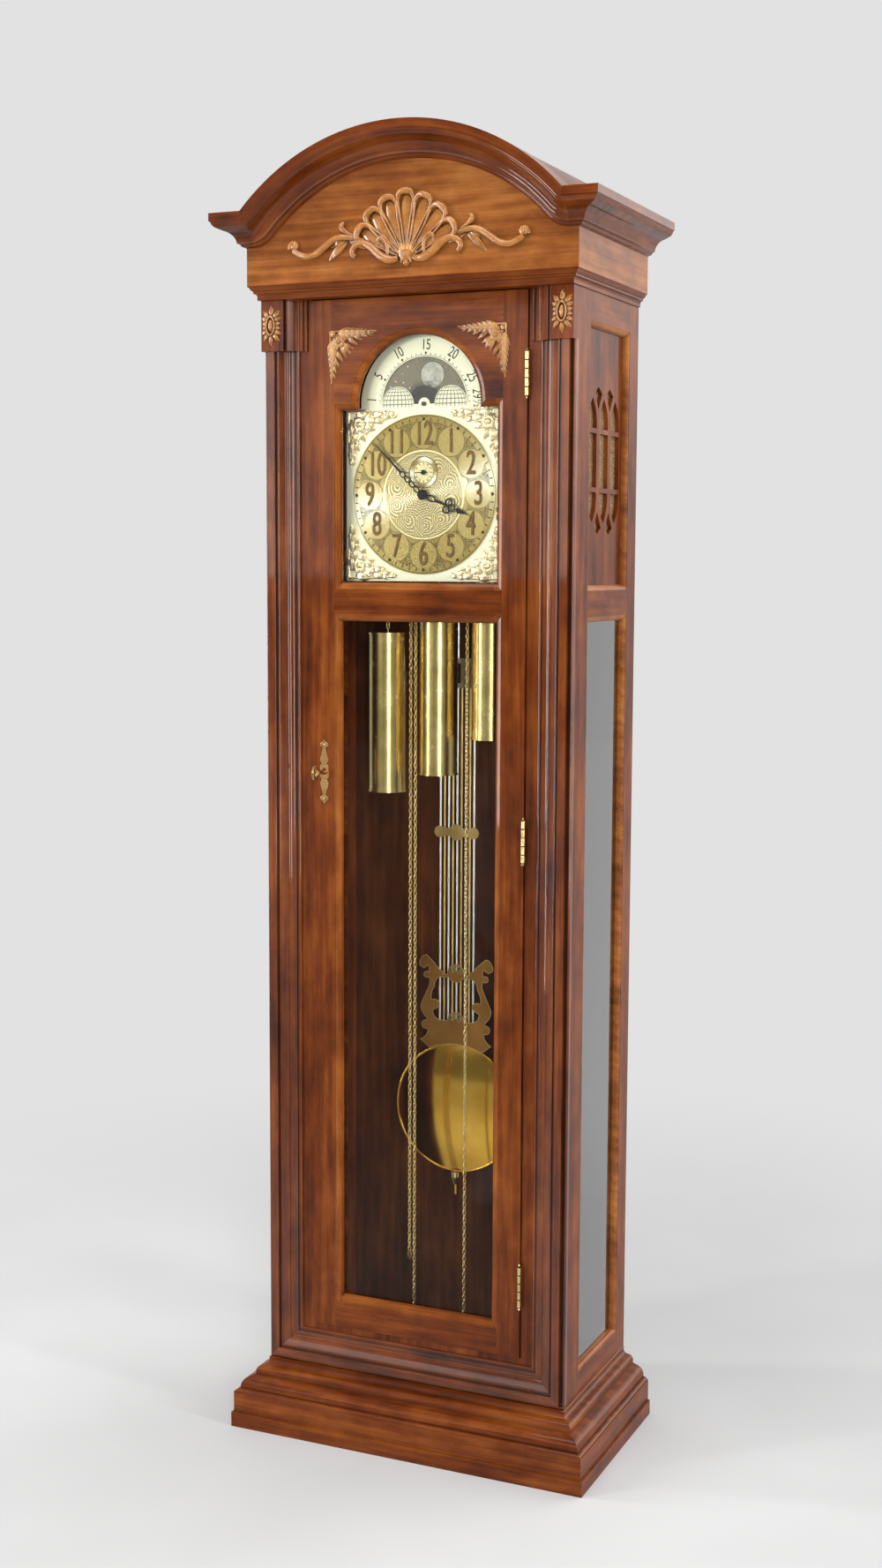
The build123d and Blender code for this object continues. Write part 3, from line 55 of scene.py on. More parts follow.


# Case boards. The carcass, door and mouldings are solid cherry, stained red-brown, with a darker glazing
# left in the quirks and corners, and a clear lacquer rubbed to a gloss. The quirks, hollows and corners are
# also painted darker, partly as that glazing and partly as painted shade. Grain follows each board's length,
# round the mitres of the mouldings and round the arch of the crown.

class Wire:
    """A value on its way through a finish: sums on it add Math nodes, and add() makes any other node."""

    def __init__(self, tree, socket=None):
        self.tree, self.socket = tree, socket

    def add(self, kind, settings=None, sockets=None, out=0):
        node = self.tree.nodes.new("ShaderNode" + kind)
        for name, value in (settings or {}).items():
            if name == "stops":
                ramp = node.color_ramp
                while len(ramp.elements) < len(value):
                    ramp.elements.new(0.5)
                for stop, (place, colour) in zip(ramp.elements, value):
                    stop.position, stop.color = place, colour
            else:
                setattr(node, name, value)
        for key, value in (sockets or {}).items():
            if isinstance(value, Wire):
                self.tree.links.new(value.socket, node.inputs[key])
            else:
                node.inputs[key].default_value = value
        return Wire(self.tree, node.outputs[out] if len(node.outputs) else None)

    def math(self, operation, first, second=0.0):
        return self.add("Math", {"operation": operation}, {0: first, 1: second})

    def __add__(self, other): return self.math("ADD", self, other)
    def __radd__(self, other): return self.math("ADD", other, self)
    def __sub__(self, other): return self.math("SUBTRACT", self, other)
    def __rsub__(self, other): return self.math("SUBTRACT", other, self)
    def __mul__(self, other): return self.math("MULTIPLY", self, other)
    def __rmul__(self, other): return self.math("MULTIPLY", other, self)
    def __truediv__(self, other): return self.math("DIVIDE", self, other)
    def __pow__(self, other): return self.math("POWER", self, other)
    def __gt__(self, other): return self.math("GREATER_THAN", self, other)
    def __lt__(self, other): return self.math("LESS_THAN", self, other)
    def __abs__(self): return self.math("ABSOLUTE", self)

    def least(self, other): return self.math("MINIMUM", self, other)
    def most(self, other): return self.math("MAXIMUM", self, other)
    def sine(self): return self.math("SINE", self)
    def cosine(self): return self.math("COSINE", self)
    def nearest(self): return self.math("ROUND", self)

    def arcsine(self):
        """Arc sine of the value, held between -1 and 1."""
        held = self.least(1.0).most(-1.0)
        return held.math("ARCSINE", held)

    def rise(self, low, high):
        """0 below low, 1 above high, smooth between."""
        return self.add("MapRange", {"interpolation_type": "SMOOTHSTEP"}, {0: self, 1: low, 2: high})

    def pick(self, first, second):
        """Number: first where this is 0, second where it is 1."""
        return first + (second - first) * self

    def blend(self, first, second):
        """Colour: first where this is 0, second where it is 1."""
        return self.add("Mix", {"data_type": "RGBA"}, {0: self, 6: first, 7: second}, out=2)

    def split(self):
        parted = self.add("SeparateXYZ", {}, {0: self}).socket.node
        return [Wire(self.tree, socket) for socket in parted.outputs]

    def join(self, x, y, z):
        return self.add("CombineXYZ", {}, {0: x, 1: y, 2: z})

    def noise(self, scale, detail=2.0, roughness=0.5):
        sockets = {"Vector": self, "Scale": scale, "Detail": detail, "Roughness": roughness}
        return self.add("TexNoise", {}, sockets)

    def hidden(self, distance, samples=3, inside=False):
        """0 in the open, towards 1 deep in the surface's hollows, or just inside its edges."""
        settings = {"samples": samples, "only_local": True, "inside": inside}
        return 1.0 - self.add("AmbientOcclusion", settings, {"Distance": distance}, out="AO")

    def bump(self, distance, strength=1.0):
        return self.add("Bump", {}, {"Strength": strength, "Distance": distance, "Height": self})

    def ramp(self, *stops):
        opaque = [(place, (*colour, 1.0)) for place, colour in stops]
        return self.add("ValToRGB", {"stops": opaque}, {0: self})


def open_finish(name):
    """A new material and its Object coordinates."""
    material = bpy.data.materials.new(name)
    material.use_nodes = True
    material.node_tree.nodes.clear()
    return material, Wire(material.node_tree).add("TexCoord", out="Object")


def close_finish(material, **sockets):
    """Ends a material in one Principled shader with these values and links."""
    sockets = {key.replace("_", " "): value for key, value in sockets.items()}
    shader = Wire(material.node_tree).add("BsdfPrincipled", {}, sockets)
    shader.add("OutputMaterial", {}, {"Surface": shader})
    return material


def dress(material, *names):
    """Gives CAD nodes a finish."""
    for name in names:
        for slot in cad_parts[name].material_slots:
            slot.material = material


def span(east, north):
    """Length of the line whose two legs these are."""
    return (east * east + north * north) ** 0.5


CASE_HALF, BASE_TOP = 0.244, 0.104
ARCH_CENTRE_Z, ARCH_RADIUS = 1.6078, 0.33
KNEE_HALF, EAVE, CROWN_DROP = 0.246, 1.834, 0.06
SIDE_LIGHT_Y, SIDE_LIGHT_HALF = 0.045, 0.086
DOOR_LIGHT_HALF, BEAD_WIDTH = 0.1335, 0.012
FACES_SIDEWAYS = 0.7
# Dark glazing colour: it fills the pores, and as painted shade it darkens hollows and corners.
GLAZE_AND_SHADE = (0.018, 0.006, 0.003, 1.0)


def lie_of_grain(place, lie):
    """Three coordinates of a board: along its grain, across its face and through it."""
    x, y, z = place.split()
    upright, level, deep = (z, x, y), (x, z, y), (y, z, x)

    def where(mask, first, second):
        return tuple(mask.pick(a, b) for a, b in zip(first, second))

    if lie == "upright":
        return upright
    if lie == "level":
        return level
    side = abs(place.add("TexCoord", out="Normal").split()[0]) > FACES_SIDEWAYS
    if lie == "mitred":
        return where(side, level, deep)
    if lie == "framed side":
        return where(abs(y - SIDE_LIGHT_Y) < SIDE_LIGHT_HALF, upright, deep)
    if lie == "front frame":
        return where(z - BASE_TOP < CASE_HALF - abs(x), upright, level)
    if lie == "door bead":
        return where(abs(x) < DOOR_LIGHT_HALF - BEAD_WIDTH, upright, level)
    up = z - ARCH_CENTRE_Z
    round_arch = (x.math("ARCTAN2", x, up) * ARCH_RADIUS, span(x, up), y)
    arched = (abs(x) < KNEE_HALF) * (z > EAVE - CROWN_DROP)
    return where(side, where(arched, level, round_arch), deep)


def cherry(name, lie, tones, gloss=0.34, glaze_and_shade=0.9):
    """Stained and lacquered cherry, its grain lying as named, in a dark, a middle and a light tone."""
    material, place = open_finish(name)
    along, across, through = lie_of_grain(place, lie)
    cloud = place.join(along * 0.3, across, through).noise(14.0, 3.0, 0.55)
    warp = place.join(along * 0.25, across * 1.3, through).noise(9.0, 2.0) * 0.05
    rings = ((across + through * 0.6 + warp) * 330.0).sine() * 0.5 + 0.5
    streak = place.join(along * 0.035, across, through).noise(240.0, 4.0, 0.6)
    pore = place.join(along * 0.05, across, through).noise(1500.0, 1.0)
    blotch = place.join(along * 0.55, across, through).noise(31.0, 3.0, 0.6)
    tone = cloud * 0.45 + blotch * 0.3 + streak * 0.25 + rings * 0.05 - 0.025
    colour = tone.ramp(*zip((0.34, 0.5, 0.66), tones))
    colour = pore.rise(0.62, 0.78).pick(0.0, 0.35).blend(colour, GLAZE_AND_SHADE)
    # Painted shade: hollows and corners found by ambient occlusion are darkened towards the dark glazing
    # colour, partly as glazing left in them and partly as the shade that falls there.
    colour = (place.hidden(0.011).rise(0.05, 0.75) * glaze_and_shade).blend(colour, GLAZE_AND_SHADE)
    rough = 0.3 + streak * 0.16 + cloud * 0.06
    grain = (pore * 0.5 + streak).bump(0.0002, 0.35)
    return close_finish(material, Base_Color=colour, Roughness=rough, Normal=grain, Coat_Weight=gloss,
                        Coat_Roughness=0.05, Specular_IOR_Level=0.04)


RED = (0.032, 0.0056, 0.0009), (0.121, 0.0245, 0.003), (0.232, 0.061, 0.0085)
GOLDEN = (0.095, 0.025, 0.0045), (0.225, 0.069, 0.014), (0.37, 0.14, 0.034)
# Lighter red tones, as painted light: the door's glazing beads take them, as they face the light.
LIT_RED = (0.06, 0.014, 0.0024), (0.19, 0.048, 0.0075), (0.34, 0.11, 0.02)
# Darker red tones, as painted shade: the back panel inside the case takes them, as it stands in shade.
SHADED_RED = (0.02, 0.004, 0.0008), (0.075, 0.017, 0.0027), (0.145, 0.04, 0.0066)
upright_cherry = cherry("upright_cherry", "upright", RED)
level_cherry = cherry("level_cherry", "level", RED)
mitred_cherry = cherry("mitred_cherry", "mitred", RED)
frieze_cherry = cherry("frieze_cherry", "mitred", GOLDEN)
arched_cherry = cherry("arched_cherry", "arched", RED, gloss=0.6)
side_cherry = cherry("side_cherry", "framed side", RED)
front_cherry = cherry("front_cherry", "front frame", RED, gloss=1.0)
bead_lit_cherry = cherry("bead_lit_cherry", "door bead", LIT_RED)
# Painted light: the side beads take the lighter golden tones and less of the darkening in their hollows, as
# they face the light.
side_bead_lit_cherry = cherry("side_bead_lit_cherry", "framed side", GOLDEN, glaze_and_shade=0.5)
shaded_cherry = cherry("shaded_cherry", "upright", SHADED_RED)
dress(mitred_cherry, "plinth_strip", "base_moulding", "neck_moulding")
dress(upright_cherry, "face_frame", "capital_blocks", "fret_panels", "door_stiles")
dress(shaded_cherry, "back_panel")
dress(level_cherry, "floor_board", "top_board", "bonnet_roof", "seat_board", "door_rails")
dress(frieze_cherry, "frieze_boards")
dress(arched_cherry, "crown_moulding")
dress(side_cherry, "side_frames")
dress(side_bead_lit_cherry, "side_beads")
dress(front_cherry, "front_moulding")
dress(bead_lit_cherry, "door_beads")


# Shell carving. A seven-lobed scallop with scrolled foliage on each side, carved in cherry and glued to the
# frieze. Its hollows are painted dark, partly as glazing and partly as painted shade, and its rims a light
# gold-brown, partly as rubbing and partly as a painted highlight.

def select(*pieces):
    """Selects these pieces and nothing else, the first of them active."""
    bpy.ops.object.select_all(action="DESELECT")
    for piece in pieces:
        piece.select_set(True)
        bpy.context.view_layer.objects.active = pieces[0]


def choose(test):
    """Selects the vertices of the mesh being edited whose place passes the test."""
    mesh = bmesh.from_edit_mesh(bpy.context.object.data)
    for vertex in mesh.verts:
        vertex.select = test(vertex.co)
    mesh.select_flush_mode()
    bmesh.update_edit_mesh(bpy.context.object.data)


def half_ball(middle):
    """Half a ball, one unit across and thick, flat behind, its middle at this height. Left in edit mode."""
    select()
    bpy.ops.mesh.primitive_uv_sphere_add(segments=12, ring_count=8, radius=0.5, location=(0.0, 0.0, middle))
    bpy.ops.object.transform_apply(location=True)
    bpy.ops.object.mode_set(mode="EDIT")
    bpy.ops.mesh.select_mode(type="VERT")
    bpy.ops.mesh.select_all(action="SELECT")
    bpy.ops.transform.resize(value=(1.0, 2.0, 1.0), center_override=(0.0, 0.0, 0.0))
    bpy.ops.mesh.bisect(plane_co=(0.0, 0.0, 0.0), plane_no=(0.0, 1.0, 0.0), clear_outer=True, use_fill=True)


def carved_leaf(groove):
    """A pointed leaf, one unit long, wide and thick, flat behind, with a groove down its middle."""
    half_ball(0.5)
    for height, narrower in ((0.55, 0.85), (0.75, 0.7), (0.9, 0.6)):
        choose(lambda place: place.z > height)
        bpy.ops.transform.resize(value=(narrower, narrower, 1.0), center_override=(0.0, 0.0, height))
    choose(lambda place: abs(place.x) < 0.02 and place.y < -0.1 and 0.05 < place.z < 0.9)
    bpy.ops.transform.translate(value=(0.0, groove, 0.0))
    bpy.ops.object.mode_set(mode="OBJECT")
    bpy.ops.object.shade_smooth()
    return bpy.context.object


def knob():
    """A half-round bead, one unit across and high."""
    half_ball(0.0)
    bpy.ops.object.mode_set(mode="OBJECT")
    bpy.ops.object.shade_smooth()
    return bpy.context.object


def lay(pattern, face, x, z, turn, length, width, thick):
    """A copy of a carved pattern on the face at y, pointing turn degrees clockwise of up."""
    piece = pattern.copy()
    piece.data = pattern.data.copy()
    bpy.context.collection.objects.link(piece)
    size = Matrix.Diagonal((width, thick, length, 1.0))
    turned = Matrix.Rotation(math.radians(turn), 4, "Y") @ size
    piece.matrix_world = Matrix.Translation((x, face, z)) @ turned
    return piece


def as_mesh(curve):
    """The mesh that a curve makes."""
    shape = bpy.data.objects.new(curve.name, curve)
    bpy.context.collection.objects.link(shape)
    select(shape)
    bpy.ops.object.convert(target="MESH")
    return bpy.context.object


def vine(face, points, proud=0.5):
    """A tapering stem through (x, z, radius) points, proud of the face at y by a share of its radius."""
    curve = bpy.data.curves.new("vine", "CURVE")
    curve.dimensions = "3D"
    curve.bevel_depth, curve.bevel_resolution, curve.resolution_u = 1.0, 3, 5
    curve.use_fill_caps = True
    path = curve.splines.new("NURBS")
    path.points.add(len(points) - 1)
    for spot, (x, z, radius) in zip(path.points, points):
        spot.co = (x, face - proud * radius, z, 1.0)
        spot.radius = radius
    path.order_u = 3
    path.use_endpoint_u = True
    stem = as_mesh(curve)
    bpy.ops.object.shade_smooth()
    return stem


def curl(x, z, size, start, turns, thick):
    """Points of a scroll that winds inwards round (x, z), from start degrees clockwise of up."""
    steps = max(5, int(abs(turns) * 9))
    spots = []
    for step in range(steps + 1):
        share = step / steps
        angle = math.radians(start + 360.0 * turns * share)
        reach = size * (1.0 - 0.72 * share)
        radius = thick * (1.0 - 0.35 * share)
        spots.append((x + reach * math.sin(angle), z + reach * math.cos(angle), radius))
    return spots


def gather(name, parts, finish, body, slot, *nodes):
    """Joins parts into one finished piece at the origin that rides on a body and stands for CAD nodes."""
    select(*parts)
    bpy.ops.object.join()
    bpy.ops.object.transform_apply(location=True, rotation=True, scale=True)
    whole = bpy.context.object
    whole.name = name
    whole.data.materials.clear()
    whole.data.materials.append(finish)
    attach(whole, body)
    if nodes:
        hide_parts(*nodes)


def both(sign_parts):
    """Parts made for the right and mirrored for the left."""
    return [part for sign in (1.0, -1.0) for part in sign_parts(sign)]


def carved_cherry():
    material, place = open_finish("carved_cherry")
    cloud = place.noise(45.0, 3.0, 0.6)
    streak = place.noise(420.0, 2.0)
    tone = cloud * 0.6 + streak * 0.4
    colour = tone.ramp((0.3, (0.2, 0.062, 0.01)), (0.52, (0.37, 0.142, 0.027)), (0.72, (0.52, 0.24, 0.058)))
    # Painted highlight: edges found by ambient occlusion inside the carving are lightened, partly as
    # rubbed-through wear and partly as the light they catch.
    rubbed_and_highlit = place.hidden(0.0016, inside=True).rise(0.5, 0.95) * 0.5
    colour = rubbed_and_highlit.blend(colour, (0.74, 0.44, 0.16, 1.0))
    # Painted shade: hollows found by ambient occlusion are darkened towards the dark glazing colour, partly
    # as glazing and partly as the shade that falls in them.
    colour = (place.hidden(0.005, 4).rise(0.15, 0.62) * 0.95).blend(colour, GLAZE_AND_SHADE)
    return close_finish(material, Base_Color=colour, Roughness=0.25 + cloud * 0.1, Coat_Weight=1.0,
                        Coat_Roughness=0.09, Specular_IOR_Level=0.2,
                        Normal=(streak + cloud).bump(0.0003, 0.35))


carved_finish = carved_cherry()
grooved_leaf, plain_leaf, bead = carved_leaf(0.45), carved_leaf(0.12), knob()
FRIEZE_FACE = -0.128
SHELL_FOOT = 1.757
SHELL_SPREAD = 59.0
LOBE_TURNS = [-SHELL_SPREAD + SHELL_SPREAD / 3 * number for number in range(7)]
LOBE_ROOT, LOBE_REACH = 0.012, 0.098


def shell_lobe(turn):
    """One flute of the scallop with a rib on each side and a rolled rim over its end."""
    lean = math.radians(turn)

    def spot(across, along, radius):
        x = along * math.sin(lean) + across * math.cos(lean)
        z = along * math.cos(lean) - across * math.sin(lean)
        return (x, SHELL_FOOT + z, radius)

    long = LOBE_REACH - 0.008 * (abs(turn) / SHELL_SPREAD)
    root_x, root_z, _ = spot(0.0, LOBE_ROOT, 0.0)
    parts = [lay(plain_leaf, FRIEZE_FACE, root_x, root_z, turn, long - LOBE_ROOT, 0.031, 0.0042)]
    for sign in (1.0, -1.0):
        rib = [spot(sign * 0.0016, 0.014, 0.0012), spot(sign * 0.0052, 0.045, 0.0015),
               spot(sign * 0.0100, 0.068, 0.0020), spot(sign * 0.0122, long - 0.018, 0.0024)]
        parts.append(vine(FRIEZE_FACE - 0.0035, rib))
    rim = [spot(-0.0128, long - 0.022, 0.0018), spot(-0.0128, long - 0.011, 0.0036),
           spot(-0.0075, long - 0.0045, 0.0047), spot(0.0, long - 0.0035, 0.0052),
           spot(0.0075, long - 0.0045, 0.0047), spot(0.0128, long - 0.011, 0.0036),
           spot(0.0128, long - 0.022, 0.0018)]
    parts.append(vine(FRIEZE_FACE - 0.0025, rim, 0.7))
    return parts


def shell_foliage(sign):
    """Acanthus, bud, leaves and long scroll on one side of the shell."""

    def run(*spots):
        return vine(FRIEZE_FACE, [(sign * x, SHELL_FOOT + z, radius) for x, z, radius in spots], 0.8)

    def leaf(x, z, turn, *size):
        return lay(grooved_leaf, FRIEZE_FACE, sign * x, SHELL_FOOT + z, sign * turn, *size)

    return [
        run((0.012, 0.002, 0.004), (0.024, -0.001, 0.0062), (0.041, 0.008, 0.0062), (0.055, 0.022, 0.0055),
            (0.070, 0.028, 0.0050), (0.083, 0.021, 0.0046), (0.085, 0.011, 0.0042), (0.079, 0.008, 0.0034)),
        run((0.030, 0.004, 0.0030), (0.026, 0.020, 0.0042), (0.034, 0.034, 0.0044), (0.044, 0.031, 0.0036),
            (0.042, 0.023, 0.0026)),
        run((0.066, 0.030, 0.0024), (0.082, 0.034, 0.0040), (0.106, 0.038, 0.0046), (0.124, 0.028, 0.0050),
            (0.143, 0.013, 0.0050), (0.163, 0.012, 0.0044), (0.178, 0.022, 0.0040)),
        run(*curl(0.1775, 0.0275, 0.0070, 120.0, -0.9, 0.0044)),
        run((0.072, 0.034, 0.0018), (0.088, 0.039, 0.0026), (0.098, 0.045, 0.0040), (0.103, 0.053, 0.0046),
            (0.097, 0.056, 0.0026)),
        leaf(0.092, 0.033, 132.0, 0.042, 0.013, 0.0055),
        leaf(0.094, 0.034, 112.0, 0.028, 0.009, 0.0055),
        leaf(0.060, 0.020, 70.0, 0.034, 0.011, 0.0060),
        lay(bead, FRIEZE_FACE, sign * 0.1775, SHELL_FOOT + 0.0275, 0.0, 0.012, 0.012, 0.0085),
        run(*curl(0.0125, 0.018, 0.0072, 200.0, 1.1, 0.0026)),
        run((0.003, 0.022, 0.0018), (0.0025, 0.008, 0.0018), (0.008, -0.004, 0.0026)),
    ]


shell_parts = [part for turn in LOBE_TURNS for part in shell_lobe(turn)] + both(shell_foliage)
shell_parts += [lay(bead, FRIEZE_FACE, 0.0, SHELL_FOOT - 0.004, 0.0, 0.011, 0.011, 0.0075),
                lay(bead, FRIEZE_FACE, 0.0, SHELL_FOOT + 0.012, 0.0, 0.034, 0.040, 0.0055)]
gather("shell_and_foliage", shell_parts, carved_finish, "case", "carved_cherry", "shell_carving")


# Rosettes. An oval sunflower with a ring round its eye, carved in cherry like the shell and glued to the flat
# of each capital block.

ROSETTE_X, ROSETTE_Z, ROSETTE_FACE = 0.2272, 1.6775, -0.110
PETALS, RING_SPOTS = 14, 18


def rosette(sign):
    """Two rows of petals, a ring and the eye."""
    middle = sign * ROSETTE_X
    parts = []
    for number in range(PETALS):
        angle = 2.0 * math.pi * number / PETALS
        east, north = math.sin(angle), math.cos(angle)
        outward = math.degrees(math.atan2(east / 0.0070, north / 0.0135))
        length = 0.0085 + 0.0095 * north * north
        x, z = middle + 0.0058 * east, ROSETTE_Z + 0.0115 * north
        parts.append(lay(grooved_leaf, ROSETTE_FACE, x, z, outward, length, 0.0072, 0.0042))
        parts.append(lay(plain_leaf, ROSETTE_FACE, x, z, outward + 13.0, length * 0.8, 0.0045, 0.0028))
    ring = [(middle + 0.0066 * math.sin(angle), ROSETTE_Z + 0.0132 * math.cos(angle), 0.0014)
            for angle in (2.0 * math.pi * number / RING_SPOTS for number in range(RING_SPOTS + 2))]
    parts.append(vine(ROSETTE_FACE - 0.0030, ring))
    parts.append(lay(bead, ROSETTE_FACE, middle, ROSETTE_Z, 0.0, 0.021, 0.0095, 0.0058))
    return parts


gather("oval_rosettes", both(rosette), carved_finish, "case", "carved_cherry", "capital_rosettes")


# Corner leaves. A flower with leaves along two arms, carved in cherry like the shell, and glued in each top
# corner of the door.

DOOR_FACE = -0.0935
CORNER_X, CORNER_Z = 0.138, 1.667


def corner_leaves(sign):
    """The flower, both arms, the leaves that fill the corner between them and the rim outside them."""

    def at(x, z):
        return -sign * (CORNER_X - x), CORNER_Z - z

    parts = []
    eye = at(0.0150, 0.0150)
    for number in range(8):
        turn = 45.0 * number + 22.5
        parts.append(lay(grooved_leaf, DOOR_FACE - 0.0012, *eye, turn, 0.0125, 0.0080, 0.0032))
    parts.append(lay(bead, DOOR_FACE, *eye, 0.0, 0.0085, 0.0085, 0.0062))
    for step in range(6):
        share = step / 5.0
        far, size = 0.012 + 0.046 * share, 1.0 - 0.5 * share
        for along, across, turn in ((far, 0.0035, 90.0), (0.0035, far, 180.0)):
            x, z = at(along, across)
            for spread in (-24.0, 0.0, 24.0):
                reach = (0.021 if spread else 0.026) * size
                lean = sign * (turn + spread)
                parts.append(lay(grooved_leaf, DOOR_FACE, x, z, lean, reach, 0.0078 * size, 0.0034))
    for along, across, turn, reach in ((0.020, 0.018, 112.0, 0.019), (0.028, 0.010, 122.0, 0.018),
                                       (0.038, 0.007, 115.0, 0.015), (0.048, 0.005, 110.0, 0.012)):
        for x, z, way in ((along, across, turn), (across, along, 270.0 - turn)):
            parts.append(lay(grooved_leaf, DOOR_FACE, *at(x, z), sign * way, reach, reach * 0.4, 0.0042))
    parts.append(lay(grooved_leaf, DOOR_FACE, *at(0.019, 0.019), sign * 135.0, 0.019, 0.010, 0.0044))
    arms = ((0.0, 0.0), (0.03, 0.0), (0.074, 0.0015)), ((0.0, 0.0), (0.0, 0.03), (0.0015, 0.074))
    for spots in arms:
        rim = [(*at(*spot), radius) for spot, radius in zip(spots, (0.0016, 0.0014, 0.0008))]
        parts.append(vine(DOOR_FACE, rim, 0.6))
    parts.append(lay(grooved_leaf, DOOR_FACE, *at(0.0, 0.0), sign * 135.0, 0.013, 0.010, 0.0032))
    return parts


gather("corner_leaves", both(corner_leaves), carved_finish, "door", "carved_cherry", "door_carvings")


# Glass. Drawn sheets of clear glass, 3 mm thick, stand in the door and in the framed sides behind
# their glazing beads, and take a faint reflection of the room.

def pane(name, tint, shine):
    """Clear sheet glass: a little shine over what is behind it."""
    material, place = open_finish(name)
    ripple = place.noise(7.0, 2.0).bump(0.001, 0.06)
    clear = place.add("BsdfTransparent", {}, {"Color": tint})
    gloss = place.add("BsdfAnisotropic", {}, {"Roughness": 0.03, "Normal": ripple})
    edge_on = place.add("Fresnel", {}, {"IOR": 1.5}) * shine
    sheet = place.add("MixShader", {}, {0: edge_on.least(1.0), 1: clear, 2: gloss})
    place.add("OutputMaterial", {}, {"Surface": sheet})
    return material


dress(pane("door_pane", (0.95, 0.96, 0.95, 1.0), 0.23), "door_glass")
dress(pane("side_pane", (0.9, 0.92, 0.92, 1.0), 2.6), "side_glasses")


# Grille cloth. A coarse cloth of brown and gold threads is stretched behind each fret and glued at its edges,
# so that the chimes are heard through it.

def woven_grille():
    material, place = open_finish("woven_grille")
    _, y, z = place.split()
    thread = 1600.0
    warp_thread, weft_thread = abs((y * thread).sine()), abs((z * thread).sine())
    thread_gap_shade = (warp_thread < 0.42) * (weft_thread < 0.42)
    fleck = place.noise(420.0, 2.0)
    colour = fleck.ramp((0.36, (0.035, 0.02, 0.008)), (0.62, (0.36, 0.22, 0.09)))
    # Painted shade: the gaps between the threads are painted near black, for the shade behind the cloth.
    colour = thread_gap_shade.blend(colour, (0.012, 0.008, 0.004, 1.0))
    return close_finish(material, Base_Color=colour, Roughness=0.6, Metallic=0.1,
                        Normal=(warp_thread + weft_thread).bump(0.0004, 0.6))


dress(woven_grille(), "grille_cloths")


# Brass. The weights, bob, lyre, wheels, key and movement plates are brass, polished, brushed or left to
# darken, under a clear lacquer that has a few faint smears.

def metal(name, dark, light, rough, brush=1.0, grain=0.00004, shine=1.0, wear_and_highlight=0.0):
    """Metal with faint smears. Brush below 1 draws its fine scratches out upright, grain is their depth, and
    the width given for wear is how far in from its edges the metal is lightened, partly as rubbed wear and
    partly as a painted highlight."""
    material, place = open_finish(name)
    smear = place.noise(26.0, 3.0, 0.6)
    x, y, z = place.split()
    scratch = place.join(x, y, z * brush).noise(900.0, 2.0)
    colour = (smear * 0.7 + scratch * 0.3).ramp((0.3, dark), (0.7, light))
    if wear_and_highlight:
        # Painted highlight: edges found by ambient occlusion inside the metal are lightened, partly as rubbed
        # wear and partly as the light they catch.
        rubbed_and_highlit = place.hidden(wear_and_highlight, inside=True).rise(0.15, 0.45)
        colour = rubbed_and_highlit.blend(colour, (0.8, 0.62, 0.32, 1.0))
    roughness = rough * 0.75 + smear * rough * 0.5
    return close_finish(material, Base_Color=colour, Roughness=roughness, Metallic=shine,
                        Normal=scratch.bump(grain, 0.5))


polished_brass = metal("polished_brass", (0.62, 0.42, 0.14), (0.82, 0.62, 0.28), 0.13)
weight_brass = metal("weight_brass", (0.56, 0.41, 0.13), (0.8, 0.62, 0.26), 0.26, brush=0.02, grain=0.00002)
bob_brass = metal("bob_brass", (0.68, 0.36, 0.035), (0.84, 0.5, 0.085), 0.12)
lyre_brass = metal("lyre_brass", (0.24, 0.1, 0.016), (0.37, 0.17, 0.035), 0.36,
                   brush=0.03, grain=0.0001, shine=0.8, wear_and_highlight=0.0011)
antique_brass = metal("antique_brass", (0.3, 0.15, 0.05), (0.56, 0.33, 0.13), 0.26, wear_and_highlight=0.0008)
dress(bob_brass, "pendulum_bob")
dress(polished_brass, "rating_nut", "movement_frame", "suspension_cock",
      "left_chain_wheel", "centre_chain_wheel", "right_chain_wheel", "chime_lever", "lock_case")
dress(weight_brass, "left_weight", "centre_weight", "right_weight")
dress(lyre_brass, "pendulum_lyre")
dress(antique_brass, "door_key")


# Hinges. Three brass butt hinges, screwed to the face frame and the door's right stile, each with five
# knuckles and a ball tip at both ends; the gaps between the knuckles are painted dark, as painted shade.

LOW_HINGE, MIDDLE_HINGE, TOP_HINGE = 0.247, 0.9065, 1.566
KNUCKLE = 0.0124


def hinge_brass():
    material, place = open_finish("hinge_brass")
    z = place.split()[2]
    foot = (z > 0.6).pick(LOW_HINGE, (z > 1.3).pick(MIDDLE_HINGE, TOP_HINGE))
    step = (z - foot) / KNUCKLE
    knuckle_gap_shade = abs(step - step.nearest()) < 0.075
    smear = place.noise(60.0, 3.0, 0.6)
    colour = smear.ramp((0.3, (0.5, 0.37, 0.14)), (0.7, (0.78, 0.63, 0.32)))
    # Painted shade: a dark, barely metallic band at each gap between the knuckles.
    colour = (knuckle_gap_shade * 0.92).blend(colour, (0.02, 0.012, 0.006, 1.0))
    return close_finish(material, Base_Color=colour, Metallic=1.0 - knuckle_gap_shade * 0.8, Roughness=0.17 + smear * 0.1,
                        Normal=(smear - knuckle_gap_shade * 3.0).bump(0.0001, 0.4))


dress(hinge_brass(), "hinge_case_leaves", "hinge_door_leaves")


# Lock plate. Thin brass, cut to a spade at each end, two drops and a square middle with an oval keyhole, and
# held to the door's left stile by a round-headed pin in each spade.

